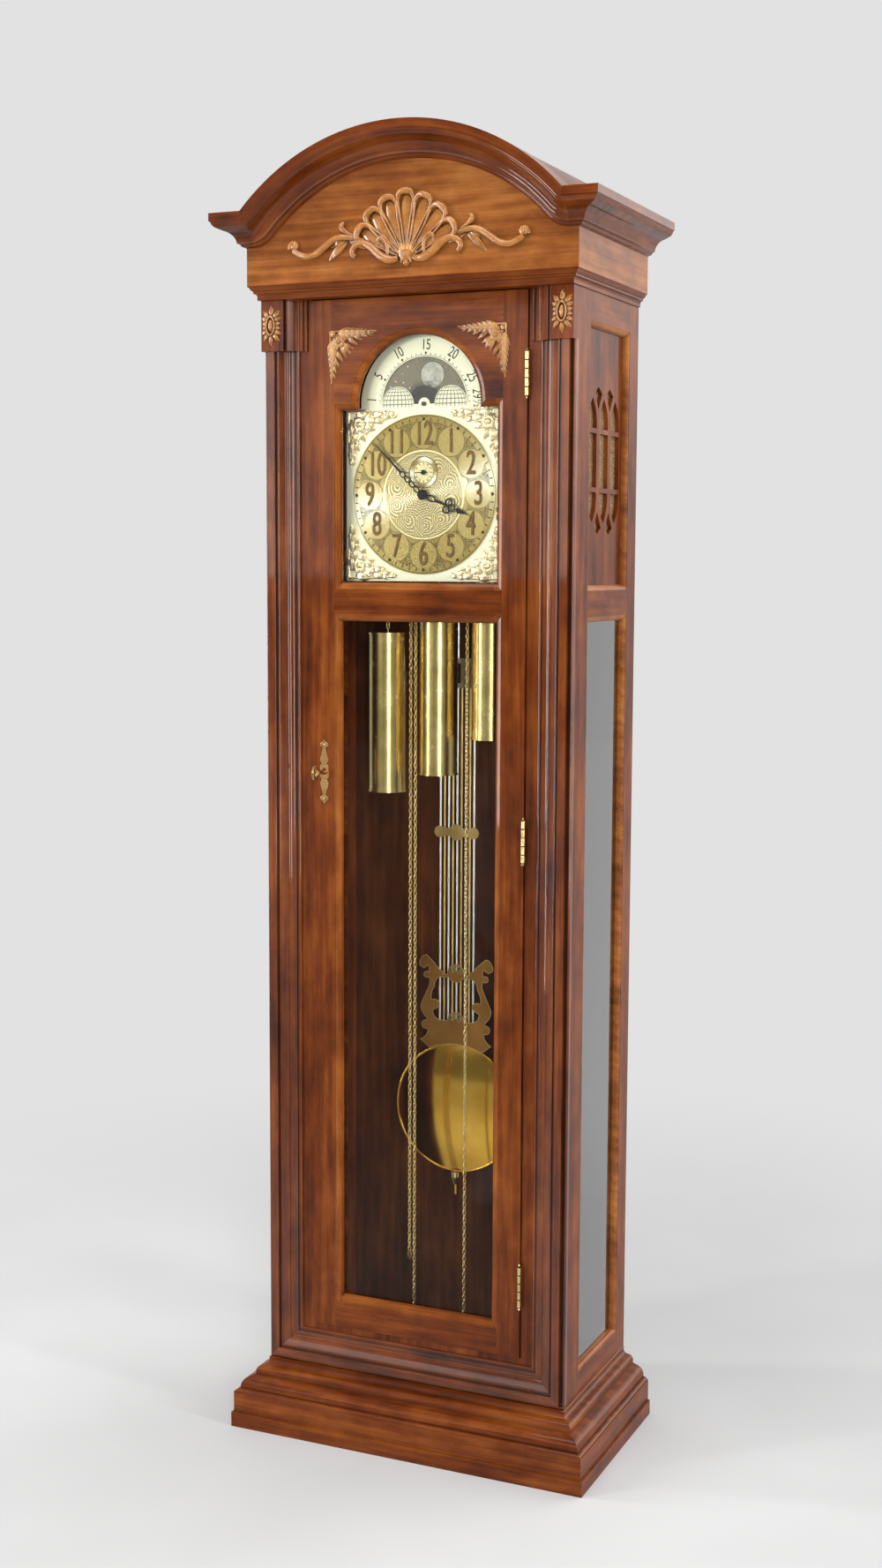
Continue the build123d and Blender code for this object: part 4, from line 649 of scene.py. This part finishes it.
PLATE_QUARTER = ((0.0, 0.048, "VECTOR"), (0.0028, 0.044, "AUTO"), (0.0066, 0.0412, "AUTO"),
                 (0.006, 0.0384, "AUTO"), (0.0036, 0.0374, "AUTO"), (0.0018, 0.036, "VECTOR"),
                 (0.0034, 0.029, "AUTO"), (0.0055, 0.0225, "AUTO"), (0.0066, 0.018, "AUTO"),
                 (0.0054, 0.0142, "AUTO"), (0.0028, 0.0124, "VECTOR"), (0.0067, 0.0084, "VECTOR"))
KEYHOLE = ((0.0034, 0.0, "AUTO"), (0.0, 0.0058, "AUTO"), (-0.0034, 0.0, "AUTO"), (0.0, -0.0058, "AUTO"))
PIN_UP, PIN_WIDTH, PIN_HEIGHT = 0.0404, 0.0042, 0.0012


def lock_plate():
    """The plate, drawn as a quarter and mirrored both ways, and its two pins."""
    low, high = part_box("escutcheon")
    right = list(PLATE_QUARTER) + [(x, -z, kind) for x, z, kind in reversed(PLATE_QUARTER)]
    rim = right + [(-x, z, kind) for x, z, kind in reversed(right[1:-1])]
    curve = bpy.data.curves.new("lock_plate", "CURVE")
    curve.dimensions, curve.fill_mode, curve.resolution_u = "2D", "BOTH", 4
    curve.extrude, curve.bevel_depth, curve.bevel_resolution = 0.00045, 0.0003, 2
    for spots in (rim, KEYHOLE):
        line = curve.splines.new("BEZIER")
        line.use_cyclic_u, line.use_smooth = True, False
        line.bezier_points.add(len(spots) - 1)
        for point, (x, z, kind) in zip(line.bezier_points, spots):
            point.co = (x, z, 0.0)
            point.handle_left_type = point.handle_right_type = kind
    flat = as_mesh(curve)
    middle = (low + high) / 2
    flat.matrix_world = Matrix.Translation(middle) @ Matrix.Rotation(math.pi / 2, 4, "X")
    pins = [lay(bead, low.y, middle.x, middle.z + up, 0.0, PIN_WIDTH, PIN_WIDTH, PIN_HEIGHT)
            for up in (-PIN_UP, PIN_UP)]
    return [flat] + pins


gather("lock_plate", lock_plate(), antique_brass, "door", "brass", "escutcheon")


# Steel. The key's cam, the chime rods and the pendulum's leader are drawn steel, wiped bright; the anchor is
# hardened and left dark.

bright_steel = metal("bright_steel", (0.5, 0.5, 0.52), (0.72, 0.72, 0.74), 0.22, brush=0.02)
dark_steel = metal("dark_steel", (0.09, 0.09, 0.095), (0.2, 0.2, 0.21), 0.35)
dress(bright_steel, "lock_cam", "chime_rods", "pendulum_leader")
dress(dark_steel, "anchor")


# Pendulum rods. Nine thin rods hang side by side, steel and brass by turns, pinned to the leader above and to
# the lyre below, with a small brass brace in front of them.

ROD_PITCH, RODS_FRONT = 0.007, 0.0583


def rods_by_turns():
    material, place = open_finish("rods_by_turns")
    x, y, z = place.split()
    count = x / ROD_PITCH + 100.5
    steel = (count.math("MODULO", count, 2.0) < 1.0) * (y > RODS_FRONT)
    smear = place.noise(40.0, 2.0)
    brass = smear.ramp((0.3, (0.5, 0.32, 0.1)), (0.7, (0.72, 0.5, 0.2)))
    silver = smear.ramp((0.3, (0.64, 0.63, 0.59)), (0.7, (0.86, 0.85, 0.8)))
    scratch = place.join(x, y, z * 0.02).noise(1200.0, 2.0)
    return close_finish(material, Base_Color=steel.blend(brass, silver), Metallic=1.0,
                        Roughness=0.3 + smear * 0.1, Normal=scratch.bump(0.000005, 0.3))


dress(rods_by_turns(), "pendulum_rods")


# Hands. Thin steel, pierced with loops by a fretsaw, blacked and lacquered, and pushed on to their arbors.
# The seconds hand is a plain needle.

def blacked_steel():
    material, place = open_finish("blacked_steel")
    wear = place.noise(180.0, 3.0)
    colour = wear.ramp((0.35, (0.005, 0.004, 0.003)), (0.75, (0.02, 0.015, 0.011)))
    return close_finish(material, Base_Color=colour, Roughness=0.4 + wear * 0.15, Specular_IOR_Level=0.12,
                        Normal=wear.bump(0.00003, 0.4))


dress(blacked_steel(), "minute_hand", "hour_hand", "seconds_hand")


# Dial. A pale brass plate with a moon arch carries a brushed brass chapter disc, engraved and filled with
# black, and a silvered moon disc turns behind the arch. The plate's two humps hide the moon by turns.

DISC_Z, MOON_Z, SECONDS_Z = 1.432, 1.562, 1.464
HOUR_RADIUS, HOUR_ROUND = 0.0865, 0.0212
BAND_INNER, BAND_OUTER, MINUTE_RADIUS = 0.0655, 0.1055, 0.1085
CENTRE_RADIUS, CURL_RADIUS, SUB_DIAL_RADIUS = 0.0605, 0.0445, 0.0225
RADIANS = math.pi / 180.0
ENGRAVED = (0.055, 0.034, 0.012, 1.0)


def polar(place, height):
    """Distance from a centre on the dial at this height, and the angle clockwise of up, in degrees."""
    east, _, z = place.split()
    north = z - height
    return span(east, north), east.math("ARCTAN2", east, north) / RADIANS


def line_at(value, centre, half):
    """1 on a line where value is within half of centre."""
    return abs(value - centre) < half


def off_step(angle, step):
    """Degrees from the nearest of the marks that stand a step apart."""
    return angle - step * (angle / step).nearest()


def from_spots(reach, angle, step, radius):
    """Distances out from, beside and from the nearest of the spots that stand a step apart on a circle."""
    off = off_step(angle, step) * RADIANS
    out, beside = reach * off.cosine() - radius, reach * off.sine()
    return out, beside, span(out, beside)


def engraved_disc():
    """Brass brushed in rings, with rounds for the hours, filigree between, minute marks and a sub-dial."""
    material, place = open_finish("engraved_disc")
    reach, angle = polar(place, DISC_Z)
    brushed = place.join(reach, angle * 0.00002, 0.0).noise(2600.0, 2.0)
    glow = place.noise(12.0, 2.0)
    colour = (glow * 0.5 + brushed * 0.5).ramp((0.3, (0.25, 0.172, 0.03)), (0.7, (0.4, 0.288, 0.072)))
    out_from, _, from_hour = from_spots(reach, angle, 30.0, HOUR_RADIUS)
    band = (reach > BAND_INNER) * (reach < BAND_OUTER)
    colour = (band * (from_hour < 0.0208) * 0.4).blend(colour, (0.55, 0.42, 0.13, 1.0))
    # Painted highlight: two broad lighter sectors and two narrow bright glints across the disc, where its
    # ring brushing would catch the light.
    painted_sheen = ((angle * 2.0 - 154.0) * RADIANS).cosine() * 0.5 + 0.5
    colour = (painted_sheen * 0.45).blend(colour, (0.72, 0.58, 0.26, 1.0))
    colour = (painted_sheen ** 14.0 * 0.9).blend(colour, (1.0, 0.93, 0.68, 1.0))
    swirl = (place.noise(150.0, 1.0) * 42.0).sine()
    filigree = band * (from_hour > 0.0222) * (abs(swirl) < 0.62) * (abs(out_from) < 0.017)
    _, beside_curl, from_curl = from_spots(reach, angle, 36.0, CURL_RADIUS)
    wander = place.noise(60.0, 1.0) * 0.004
    curls = ((from_curl + beside_curl * 0.35 + wander) * 1750.0).sine()
    centre = (reach < CENTRE_RADIUS) * (curls > 0.35)
    colour = ((reach < CENTRE_RADIUS) * 0.6).blend(colour, (0.88, 0.78, 0.45, 1.0))
    colour = (centre * 0.75).blend(colour, (0.2, 0.125, 0.03, 1.0))
    marks = filigree.most(line_at(from_hour, HOUR_ROUND, 0.00035) * band)
    minute_off = off_step(angle, 6.0) * RADIANS * reach
    ticks = (abs(minute_off) < 0.0008) * line_at(reach, MINUTE_RADIUS, 0.0022)
    five_off = off_step(angle, 30.0) * RADIANS * reach
    dots = span(reach - MINUTE_RADIUS, five_off) < 0.0024
    marks = marks.most(ticks).most(dots).most(line_at(reach, 0.1128, 0.0004))
    sub_reach, sub_angle = polar(place, SECONDS_Z)
    sub_ticks = (abs(off_step(sub_angle, 30.0)) * sub_reach < 0.03) * line_at(sub_reach, 0.0128, 0.0018)
    colour = (sub_reach < SUB_DIAL_RADIUS).blend(colour, (0.8, 0.69, 0.38, 1.0))
    # Painted highlight and shade: the ring round the seconds dial is lightened and darkened by angle, as the
    # glints of a raised bezel.
    turned = (sub_angle * (3.0 * RADIANS) + 1.0).sine() * 0.5 + 0.5
    turned = turned.ramp((0.1, (0.36, 0.25, 0.07)), (0.9, (1.0, 0.93, 0.7)))
    colour = line_at(sub_reach, 0.0195, 0.003).blend(colour, turned)
    marks = (marks * (sub_reach > SUB_DIAL_RADIUS)).most(sub_ticks)
    for radius, half in ((0.0158, 0.0004), (SUB_DIAL_RADIUS, 0.0005)):
        marks = marks.most(line_at(sub_reach, radius, half))
    ring = line_at(reach, 0.0633, 0.0012)
    colour = ring.blend(marks.blend(colour, ENGRAVED), (0.86, 0.75, 0.45, 1.0))
    rough = 0.27 + marks * 0.3 - ring * 0.12
    return close_finish(material, Base_Color=colour, Roughness=rough, Metallic=0.8,
                        Normal=(brushed * 0.6 - marks * 0.5 - centre * 0.6).bump(0.00035, 0.5))


DAY_STEP, WEEK_STEP, DAY_START = 6.2, 31.0, 2.0
HUMP_X, HUMP_RADIUS, HUMP_DROP = 0.042, 0.0255, 0.004
GRID_STEP, GRID_HALF = 0.26, 0.03


def pale_plate():
    """Pale brass brushed across, with the moon's days round the arch and a net of lines on each hump."""
    material, place = open_finish("pale_plate")
    x, y, z = place.split()
    brushed = place.join(x * 0.02, y, z).noise(1400.0, 2.0)
    glow = place.noise(9.0, 2.0)
    colour = (glow * 0.5 + brushed * 0.5).ramp((0.3, (0.95, 0.9, 0.62)), (0.7, (1.0, 0.97, 0.76)))
    reach, angle = polar(place, MOON_Z)
    day_off = off_step(angle - DAY_START, DAY_STEP) * RADIANS * reach
    week_off = off_step(angle - DAY_START, WEEK_STEP) * RADIANS * reach
    days = (abs(day_off) < 0.0005) * line_at(reach, 0.0715, 0.0014)
    weeks = span(reach - 0.0725, week_off) < 0.0017
    marks = days.most(weeks).most(line_at(reach, 0.0692, 0.0003)) * (z > MOON_Z)
    across, up = (abs(x) - HUMP_X) / HUMP_RADIUS, (z - MOON_Z) / HUMP_RADIUS
    from_hump, above = span(across, up), z > MOON_Z - HUMP_DROP
    meridian = off_step((across / (1.0 - up * up).most(0.01) ** 0.5).arcsine(), GRID_STEP)
    parallel = off_step(up.arcsine(), GRID_STEP)
    net = (abs(meridian) < GRID_HALF).most(abs(parallel) < GRID_HALF) * (from_hump < 0.92 ** 0.5) * 0.75
    marks = marks.most(net * above).most(line_at(from_hump, 0.95, 0.012) * above)
    colour = marks.blend(colour, ENGRAVED)
    return close_finish(material, Base_Color=colour, Metallic=0.45, Roughness=0.3 + marks * 0.3,
                        Normal=(brushed - marks).bump(0.0001, 0.4))


MOON_REACH, MOON_RADIUS, MOON_START = 0.043, 0.0185, 16.0


def silvered_moon():
    """Night sky etched on silver: two plain moons, stars, thin cloud and low hills."""
    material, place = open_finish("silvered_moon")
    reach, angle = polar(place, MOON_Z)
    brushed = place.join(reach, angle * 0.00003, 0.0).noise(2200.0, 2.0)
    cloud = place.join(reach * 2.2, angle * 0.012, 0.0).noise(55.0, 3.0)
    colour = (cloud * 0.75 + brushed * 0.25).ramp((0.32, (0.14, 0.122, 0.082)), (0.7, (0.34, 0.3, 0.22)))
    _, _, from_moon = from_spots(reach, angle - MOON_START, 180.0, MOON_REACH)
    seas = place.noise(90.0, 3.0)
    moon = seas.ramp((0.38, (0.36, 0.345, 0.28)), (0.6, (0.58, 0.56, 0.48)))
    colour = (from_moon < MOON_RADIUS).blend(colour, moon)
    cell = place.add("TexVoronoi", {}, {"Vector": place, "Scale": 130.0}, out="Distance")
    stars = (cell < 0.13) * (from_moon > 0.023) * (reach > 0.03)
    colour = stars.blend(colour, (0.8, 0.8, 0.8, 1.0))
    ridge = place.join(angle * 0.03, 0.0, 0.0).noise(3.0, 3.0) * 0.014 + 0.02
    hills = (reach < ridge).most((reach < ridge + 0.006) * 0.45)
    marks = hills.most(line_at(from_moon, 0.0187, 0.0004))
    colour = (marks * 0.8).blend(colour, (0.05, 0.05, 0.055, 1.0))
    return close_finish(material, Base_Color=colour, Metallic=0.8, Roughness=0.36 + marks * 0.2,
                        Normal=(brushed - marks * 0.4).bump(0.0001, 0.4))


dress(pale_plate(), "dial_plate")
dress(engraved_disc(), "chapter_disc")
dress(silvered_moon(), "moon_disc")


# Spandrels. Scrollwork cast in brass and gilt, pinned to the dial plate in each corner round the chapter
# disc: a flower, two arms of leaves and curls, and a rail along each edge.

cast_gilt = metal("cast_gilt", (0.9, 0.7, 0.38), (1.0, 0.88, 0.58), 0.24, shine=0.85)
SPANDREL_FACE, SPANDREL_CORNER = -0.068, 0.123
ARM_LEAVES = ((0.012, 0.006, 95.0, 0.030, 0.014), (0.024, 0.012, 84.0, 0.030, 0.014),
              (0.026, 0.020, 66.0, 0.022, 0.013), (0.040, 0.007, 94.0, 0.026, 0.011),
              (0.043, 0.012, 66.0, 0.018, 0.010), (0.054, 0.008, 80.0, 0.020, 0.009),
              (0.056, 0.006, 108.0, 0.014, 0.008), (0.066, 0.006, 90.0, 0.016, 0.008),
              (0.016, 0.004, 70.0, 0.020, 0.010), (0.030, 0.004, 60.0, 0.014, 0.009))
ARM_CURLS = ((0.038, 0.016, 0.0066, 0.0, 1.2), (0.060, 0.012, 0.0050, 40.0, -1.1),
             (0.075, 0.008, 0.0042, 90.0, 1.1), (0.030, 0.027, 0.0060, 180.0, -1.2))
ARM_RAIL = ((0.003, 0.0022, 0.0018), (0.032, 0.0022, 0.0016),
            (0.056, 0.0030, 0.0014), (0.081, 0.0060, 0.0010))


def spandrel(sign, up):
    """One corner's casting, laid out from the corner inwards."""

    def at(x, z):
        return sign * (SPANDREL_CORNER - x), DISC_Z + up * (SPANDREL_CORNER - z)

    def lean(turn):
        turn = 180.0 - turn if up > 0 else turn
        return -sign * turn

    parts = []
    for swap in (False, True):
        def spot(x, z):
            return at(z, x) if swap else at(x, z)

        def way(turn):
            return lean(90.0 - turn if swap else turn)

        for x, z, turn, length, width in ARM_LEAVES:
            parts.append(lay(grooved_leaf, SPANDREL_FACE, *spot(x, z), way(turn), length, width, 0.0042))
        for x, z, size, start, turns in ARM_CURLS:
            parts.append(vine(SPANDREL_FACE, curl(*spot(x, z), size, start, turns, 0.0016), 0.9))
        parts.append(vine(SPANDREL_FACE, [(*spot(x, z), radius) for x, z, radius in ARM_RAIL], 0.8))
    eye = at(0.0205, 0.0205)
    for number in range(9):
        parts.append(lay(grooved_leaf, SPANDREL_FACE - 0.0012, *eye, 40.0 * number, 0.0150, 0.0098, 0.0036))
    parts.append(lay(bead, SPANDREL_FACE, *eye, 0.0, 0.0105, 0.0105, 0.0066))
    return parts


corners = [part for sign in (1.0, -1.0) for up in (1.0, -1.0) for part in spandrel(sign, up)]
gather("gilt_spandrels", corners, cast_gilt, "case", "dial_brass", "dial_spandrels")
for pattern in (grooved_leaf, plain_leaf, bead):
    bpy.data.objects.remove(pattern)


# Numerals. Raised hour numerals, cut from brass and darkened, are pinned to the chapter disc; thin black
# figures on the plate's arch count the moon's days.

def numerals(name, words, places, size, narrow, raised, bolder, finish):
    """Figures laid upright at (x, y, z, turn) places, as one piece on the case."""
    parts = []
    for word, (x, y, z, turn) in zip(words, places):
        select()
        bpy.ops.object.text_add()
        figure = bpy.context.object
        figure.data.body = word
        figure.data.align_x, figure.data.align_y = "CENTER", "CENTER"
        figure.data.size = size
        figure.data.extrude, figure.data.bevel_depth = raised * 0.6, raised * 0.4
        figure.data.bevel_resolution = 1
        figure.data.offset = bolder
        bpy.ops.object.convert(target="MESH")
        stand = Matrix.Rotation(math.pi / 2, 4, "X") @ Matrix.Diagonal((narrow, 1.0, 1.0, 1.0))
        turned = Matrix.Rotation(math.radians(turn), 4, "Y") @ stand
        figure.matrix_world = Matrix.Translation((x, y, z)) @ turned
        parts.append(figure)
    gather(name, parts, finish, "case", "dial_brass")


def on_circle(radius, y, middle, angle, turn):
    """Place of a figure on a circle of the dial, at an angle clockwise of up, with its own turn."""
    angle = math.radians(angle)
    return radius * math.sin(angle), y, middle + radius * math.cos(angle), turn


numeral_brass = metal("numeral_brass", (0.14, 0.07, 0.016), (0.24, 0.13, 0.034), 0.28, shine=0.75)
DISC_FACE = -0.069
hours = range(1, 13)
hour_places = [on_circle(HOUR_RADIUS, DISC_FACE - 0.0004, DISC_Z, 30.0 * hour, 0.0) for hour in hours]
numerals("hour_numerals", [str(hour) for hour in hours], hour_places,
         size=0.0485, narrow=0.62, raised=0.0016, bolder=-0.0002, finish=numeral_brass)

MOON_FIGURE_RADIUS = 0.0835
moon_days = {"1": -84.5, "5": -60.0, "10": -29.0, "15": 2.0, "20": 33.0, "25": 64.0, "29\u00bd": 86.0}
moon_places = [on_circle(MOON_FIGURE_RADIUS, SPANDREL_FACE - 0.0001, MOON_Z, turn, turn)
               for turn in moon_days.values()]
numerals("moon_figures", list(moon_days), moon_places,
         size=0.0215, narrow=0.7, raised=0.0002, bolder=-0.0001, finish=blacked_steel())


# Chains. Brass link chain runs from each weight up over its wheel, and its free end hangs to a small oval
# tag. The links that a falling weight draws down wait in the movement, behind the dial.

LINK_PITCH, LINK_END, LINK_STRETCH, LINK_TURN = 0.0061, 0.0042, 0.00175, math.radians(40.0)
CHAIN_Y, WHEEL_Z = -0.012, 1.392
chain_brass = metal("chain_brass", (0.66, 0.47, 0.16), (0.9, 0.7, 0.34), 0.24, shine=0.9)
tag_brass = metal("tag_brass", (0.2, 0.11, 0.03), (0.36, 0.21, 0.065), 0.35)


def link_chain(name, x, top, low):
    """Links from top down to low, as one mesh: each link is turned a quarter from the last."""
    select()
    bpy.ops.mesh.primitive_torus_add(major_segments=10, minor_segments=5, major_radius=0.0022,
                                     minor_radius=0.0009, rotation=(math.pi / 2, 0.0, 0.0))
    links = bpy.context.object
    bpy.ops.object.transform_apply(location=True, rotation=True, scale=True)
    bpy.ops.object.mode_set(mode="EDIT")
    bpy.ops.mesh.select_mode(type="VERT")
    for half in (1.0, -1.0):
        choose(lambda place: place.z * half > 0.0001)
        bpy.ops.transform.translate(value=(0.0, 0.0, half * LINK_STRETCH))
    bpy.ops.mesh.select_all(action="SELECT")
    bpy.ops.transform.rotate(value=LINK_TURN, orient_axis="Z", center_override=(0.0, 0.0, 0.0))
    bpy.ops.mesh.duplicate()
    bpy.ops.transform.rotate(value=math.pi / 2, orient_axis="Z", center_override=(0.0, 0.0, 0.0))
    bpy.ops.transform.translate(value=(0.0, 0.0, -LINK_PITCH))
    bpy.ops.object.mode_set(mode="OBJECT")
    bpy.ops.object.shade_smooth()
    pairs = max(1, int((top - low) / (2.0 * LINK_PITCH)))
    row = links.modifiers.new("row", "ARRAY")
    row.count = pairs
    row.use_relative_offset, row.use_constant_offset = False, True
    row.constant_offset_displace = (0.0, 0.0, -2.0 * LINK_PITCH)
    bpy.ops.object.modifier_apply(modifier="row")
    links.location = (x, CHAIN_Y, low + (2 * pairs - 1) * LINK_PITCH + LINK_END)
    bpy.ops.object.transform_apply(location=True)
    links.name = name
    links.data.materials.append(chain_brass)
    return links


def eased(share):
    return share * share * (3.0 - 2.0 * share)


def drawn_up(height, top, store, drop):
    """Where a point that hangs at this height after the full drop waits before it, among the stored links."""
    low, high = 0.0, 1.0
    for _ in range(40):
        share = (low + high) / 2.0
        if top - store * share - drop * eased(share) > height:
            low = share
        else:
            high = share
    return top - store * low


STORE, HOOK_LAP, TAG_LAP = 0.05, 0.004, 0.014
TAG_SIZE = (0.009, 0.0024, 0.016)
trains = {"left": (-0.084, -0.046, 0.85), "centre": (0.0, -0.038, 0.88), "right": (0.084, 0.046, 0.935)}
for side, (load_x, free_x, drop) in trains.items():
    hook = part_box(f"{side}_load_chain")[0].z
    load = link_chain(f"{side}_load_links", load_x, WHEEL_Z, hook - drop - HOOK_LAP)
    for vertex in load.data.vertices:
        if vertex.co.z > WHEEL_Z - STORE - drop:
            vertex.co.z = drawn_up(vertex.co.z, WHEEL_Z, STORE, drop)
        else:
            vertex.co.z += drop
    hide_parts(f"{side}_load_chain")
    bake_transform(load)
    tag_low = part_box(f"{side}_free_chain")[0].z
    free = link_chain(f"{side}_free_links", free_x, WHEEL_Z, tag_low + TAG_LAP)
    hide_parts(f"{side}_free_chain")
    select()
    bpy.ops.mesh.primitive_uv_sphere_add(segments=12, ring_count=8, radius=0.5, scale=TAG_SIZE,
                                         location=(free_x, CHAIN_Y, tag_low + TAG_SIZE[2] / 2))
    bpy.ops.object.transform_apply(location=True, rotation=True, scale=True)
    bpy.ops.object.shade_smooth()
    bpy.context.object.data.materials.append(tag_brass)
    select(free, bpy.context.object)
    bpy.ops.object.join()
    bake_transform(free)


# Studio. A pale floor that fades into the backdrop away from the clock, soft light from large panels, and a
# camera where the clock was seen from: to its right, a little above its middle.

BACKDROP, ROOM, WINDOW, FLOOR_LEAST = 0.76, 0.18, 2.6, 0.5


def studio_shade(way):
    """Brightness in a direction: pale behind the clock, brightest high on the right, dim in front."""
    right, forward, up = way.split()
    glow = right.rise(0.05, 0.5) * forward.rise(0.0, 0.6) * up.rise(-0.02, 0.25)
    return ROOM + (BACKDROP - ROOM) * forward.rise(-0.9, 0.45) + glow * WINDOW


def pale_floor():
    """Pale floor that fades into the backdrop away from the clock."""
    material, place = open_finish("pale_floor")
    mottle = place.noise(3.0, 2.0)
    colour = mottle.ramp((0.3, (0.5, 0.5, 0.5)), (0.7, (0.53, 0.53, 0.53)))
    near = place.add("BsdfDiffuse", {}, {"Color": colour})
    outward = place.add("VectorMath", {"operation": "NORMALIZE"}, {0: place})
    shade = studio_shade(outward).most(FLOOR_LEAST)
    far = place.add("Emission", {}, {"Color": place.join(shade, shade, shade)})
    away = place.add("VectorMath", {"operation": "LENGTH"}, {0: place}, out="Value").rise(0.5, 2.2)
    place.add("OutputMaterial", {}, {"Surface": place.add("MixShader", {}, {0: away, 1: near, 2: far})})
    return material


select()
bpy.ops.mesh.primitive_circle_add(vertices=64, radius=12.0, fill_type="NGON")
floor = bpy.context.object
floor.name = "floor"
floor.data.materials.append(pale_floor())


def soft_panel(name, place, aim, size, power):
    """A rectangle of light that faces the aim."""
    bpy.ops.object.light_add(type="AREA", location=place)
    lamp = bpy.context.object
    lamp.name = name
    lamp.data.shape = "RECTANGLE"
    lamp.data.size, lamp.data.size_y = size
    lamp.data.energy = power
    lamp.rotation_euler = (Vector(aim) - Vector(place)).to_track_quat("-Z", "Y").to_euler()


soft_panel("key_panel", (-2.6, -2.7, 1.8), (0.0, 0.0, 1.1), (0.38, 2.8), 64.0)
soft_panel("strip_panel", (-2.4, -0.7, 1.3), (-0.2, -0.1, 1.0), (0.14, 2.4), 34.0)
soft_panel("mirror_panel", (-1.45, -3.3, 1.72), (0.0, 0.0, 1.6), (1.7, 0.86), 8.5)
soft_panel("front_panel", (1.9, -3.4, 1.5), (0.0, 0.0, 1.0), (0.42, 2.6), 68.0)
soft_panel("right_panel", (3.0, -0.6, 1.6), (0.2, 0.0, 1.1), (0.3, 2.6), 52.0)
soft_panel("top_panel", (0.1, -1.3, 3.6), (0.0, 0.0, 1.0), (2.4, 1.2), 42.0)

world = bpy.data.worlds.new("studio")
bpy.context.scene.world = world
world.use_nodes = True
world.node_tree.nodes.clear()
air = Wire(world.node_tree).add("TexCoord", out="Generated")
shade = studio_shade(air)
air.add("OutputWorld", {}, {"Surface": air.add("Background", {}, {"Color": air.join(shade, shade, shade)})})

CAMERA_AT = (1.2070, -2.7098, 1.3334)
AZIMUTH, PITCH, ROLL = (math.radians(a) for a in (24.03, 6.353, 0.233))
bpy.ops.object.camera_add(location=CAMERA_AT)
camera = bpy.context.object
camera.data.sensor_fit = "AUTO"
camera.data.sensor_width = 36.0
camera.data.lens = 45.52
tilt = Matrix.Rotation(math.pi / 2 - PITCH, 4, "X") @ Matrix.Rotation(ROLL, 4, "Z")
camera.rotation_euler = (Matrix.Rotation(AZIMUTH, 4, "Z") @ tilt).to_euler()
bpy.context.scene.camera = camera
bpy.context.scene.view_settings.view_transform = "Standard"
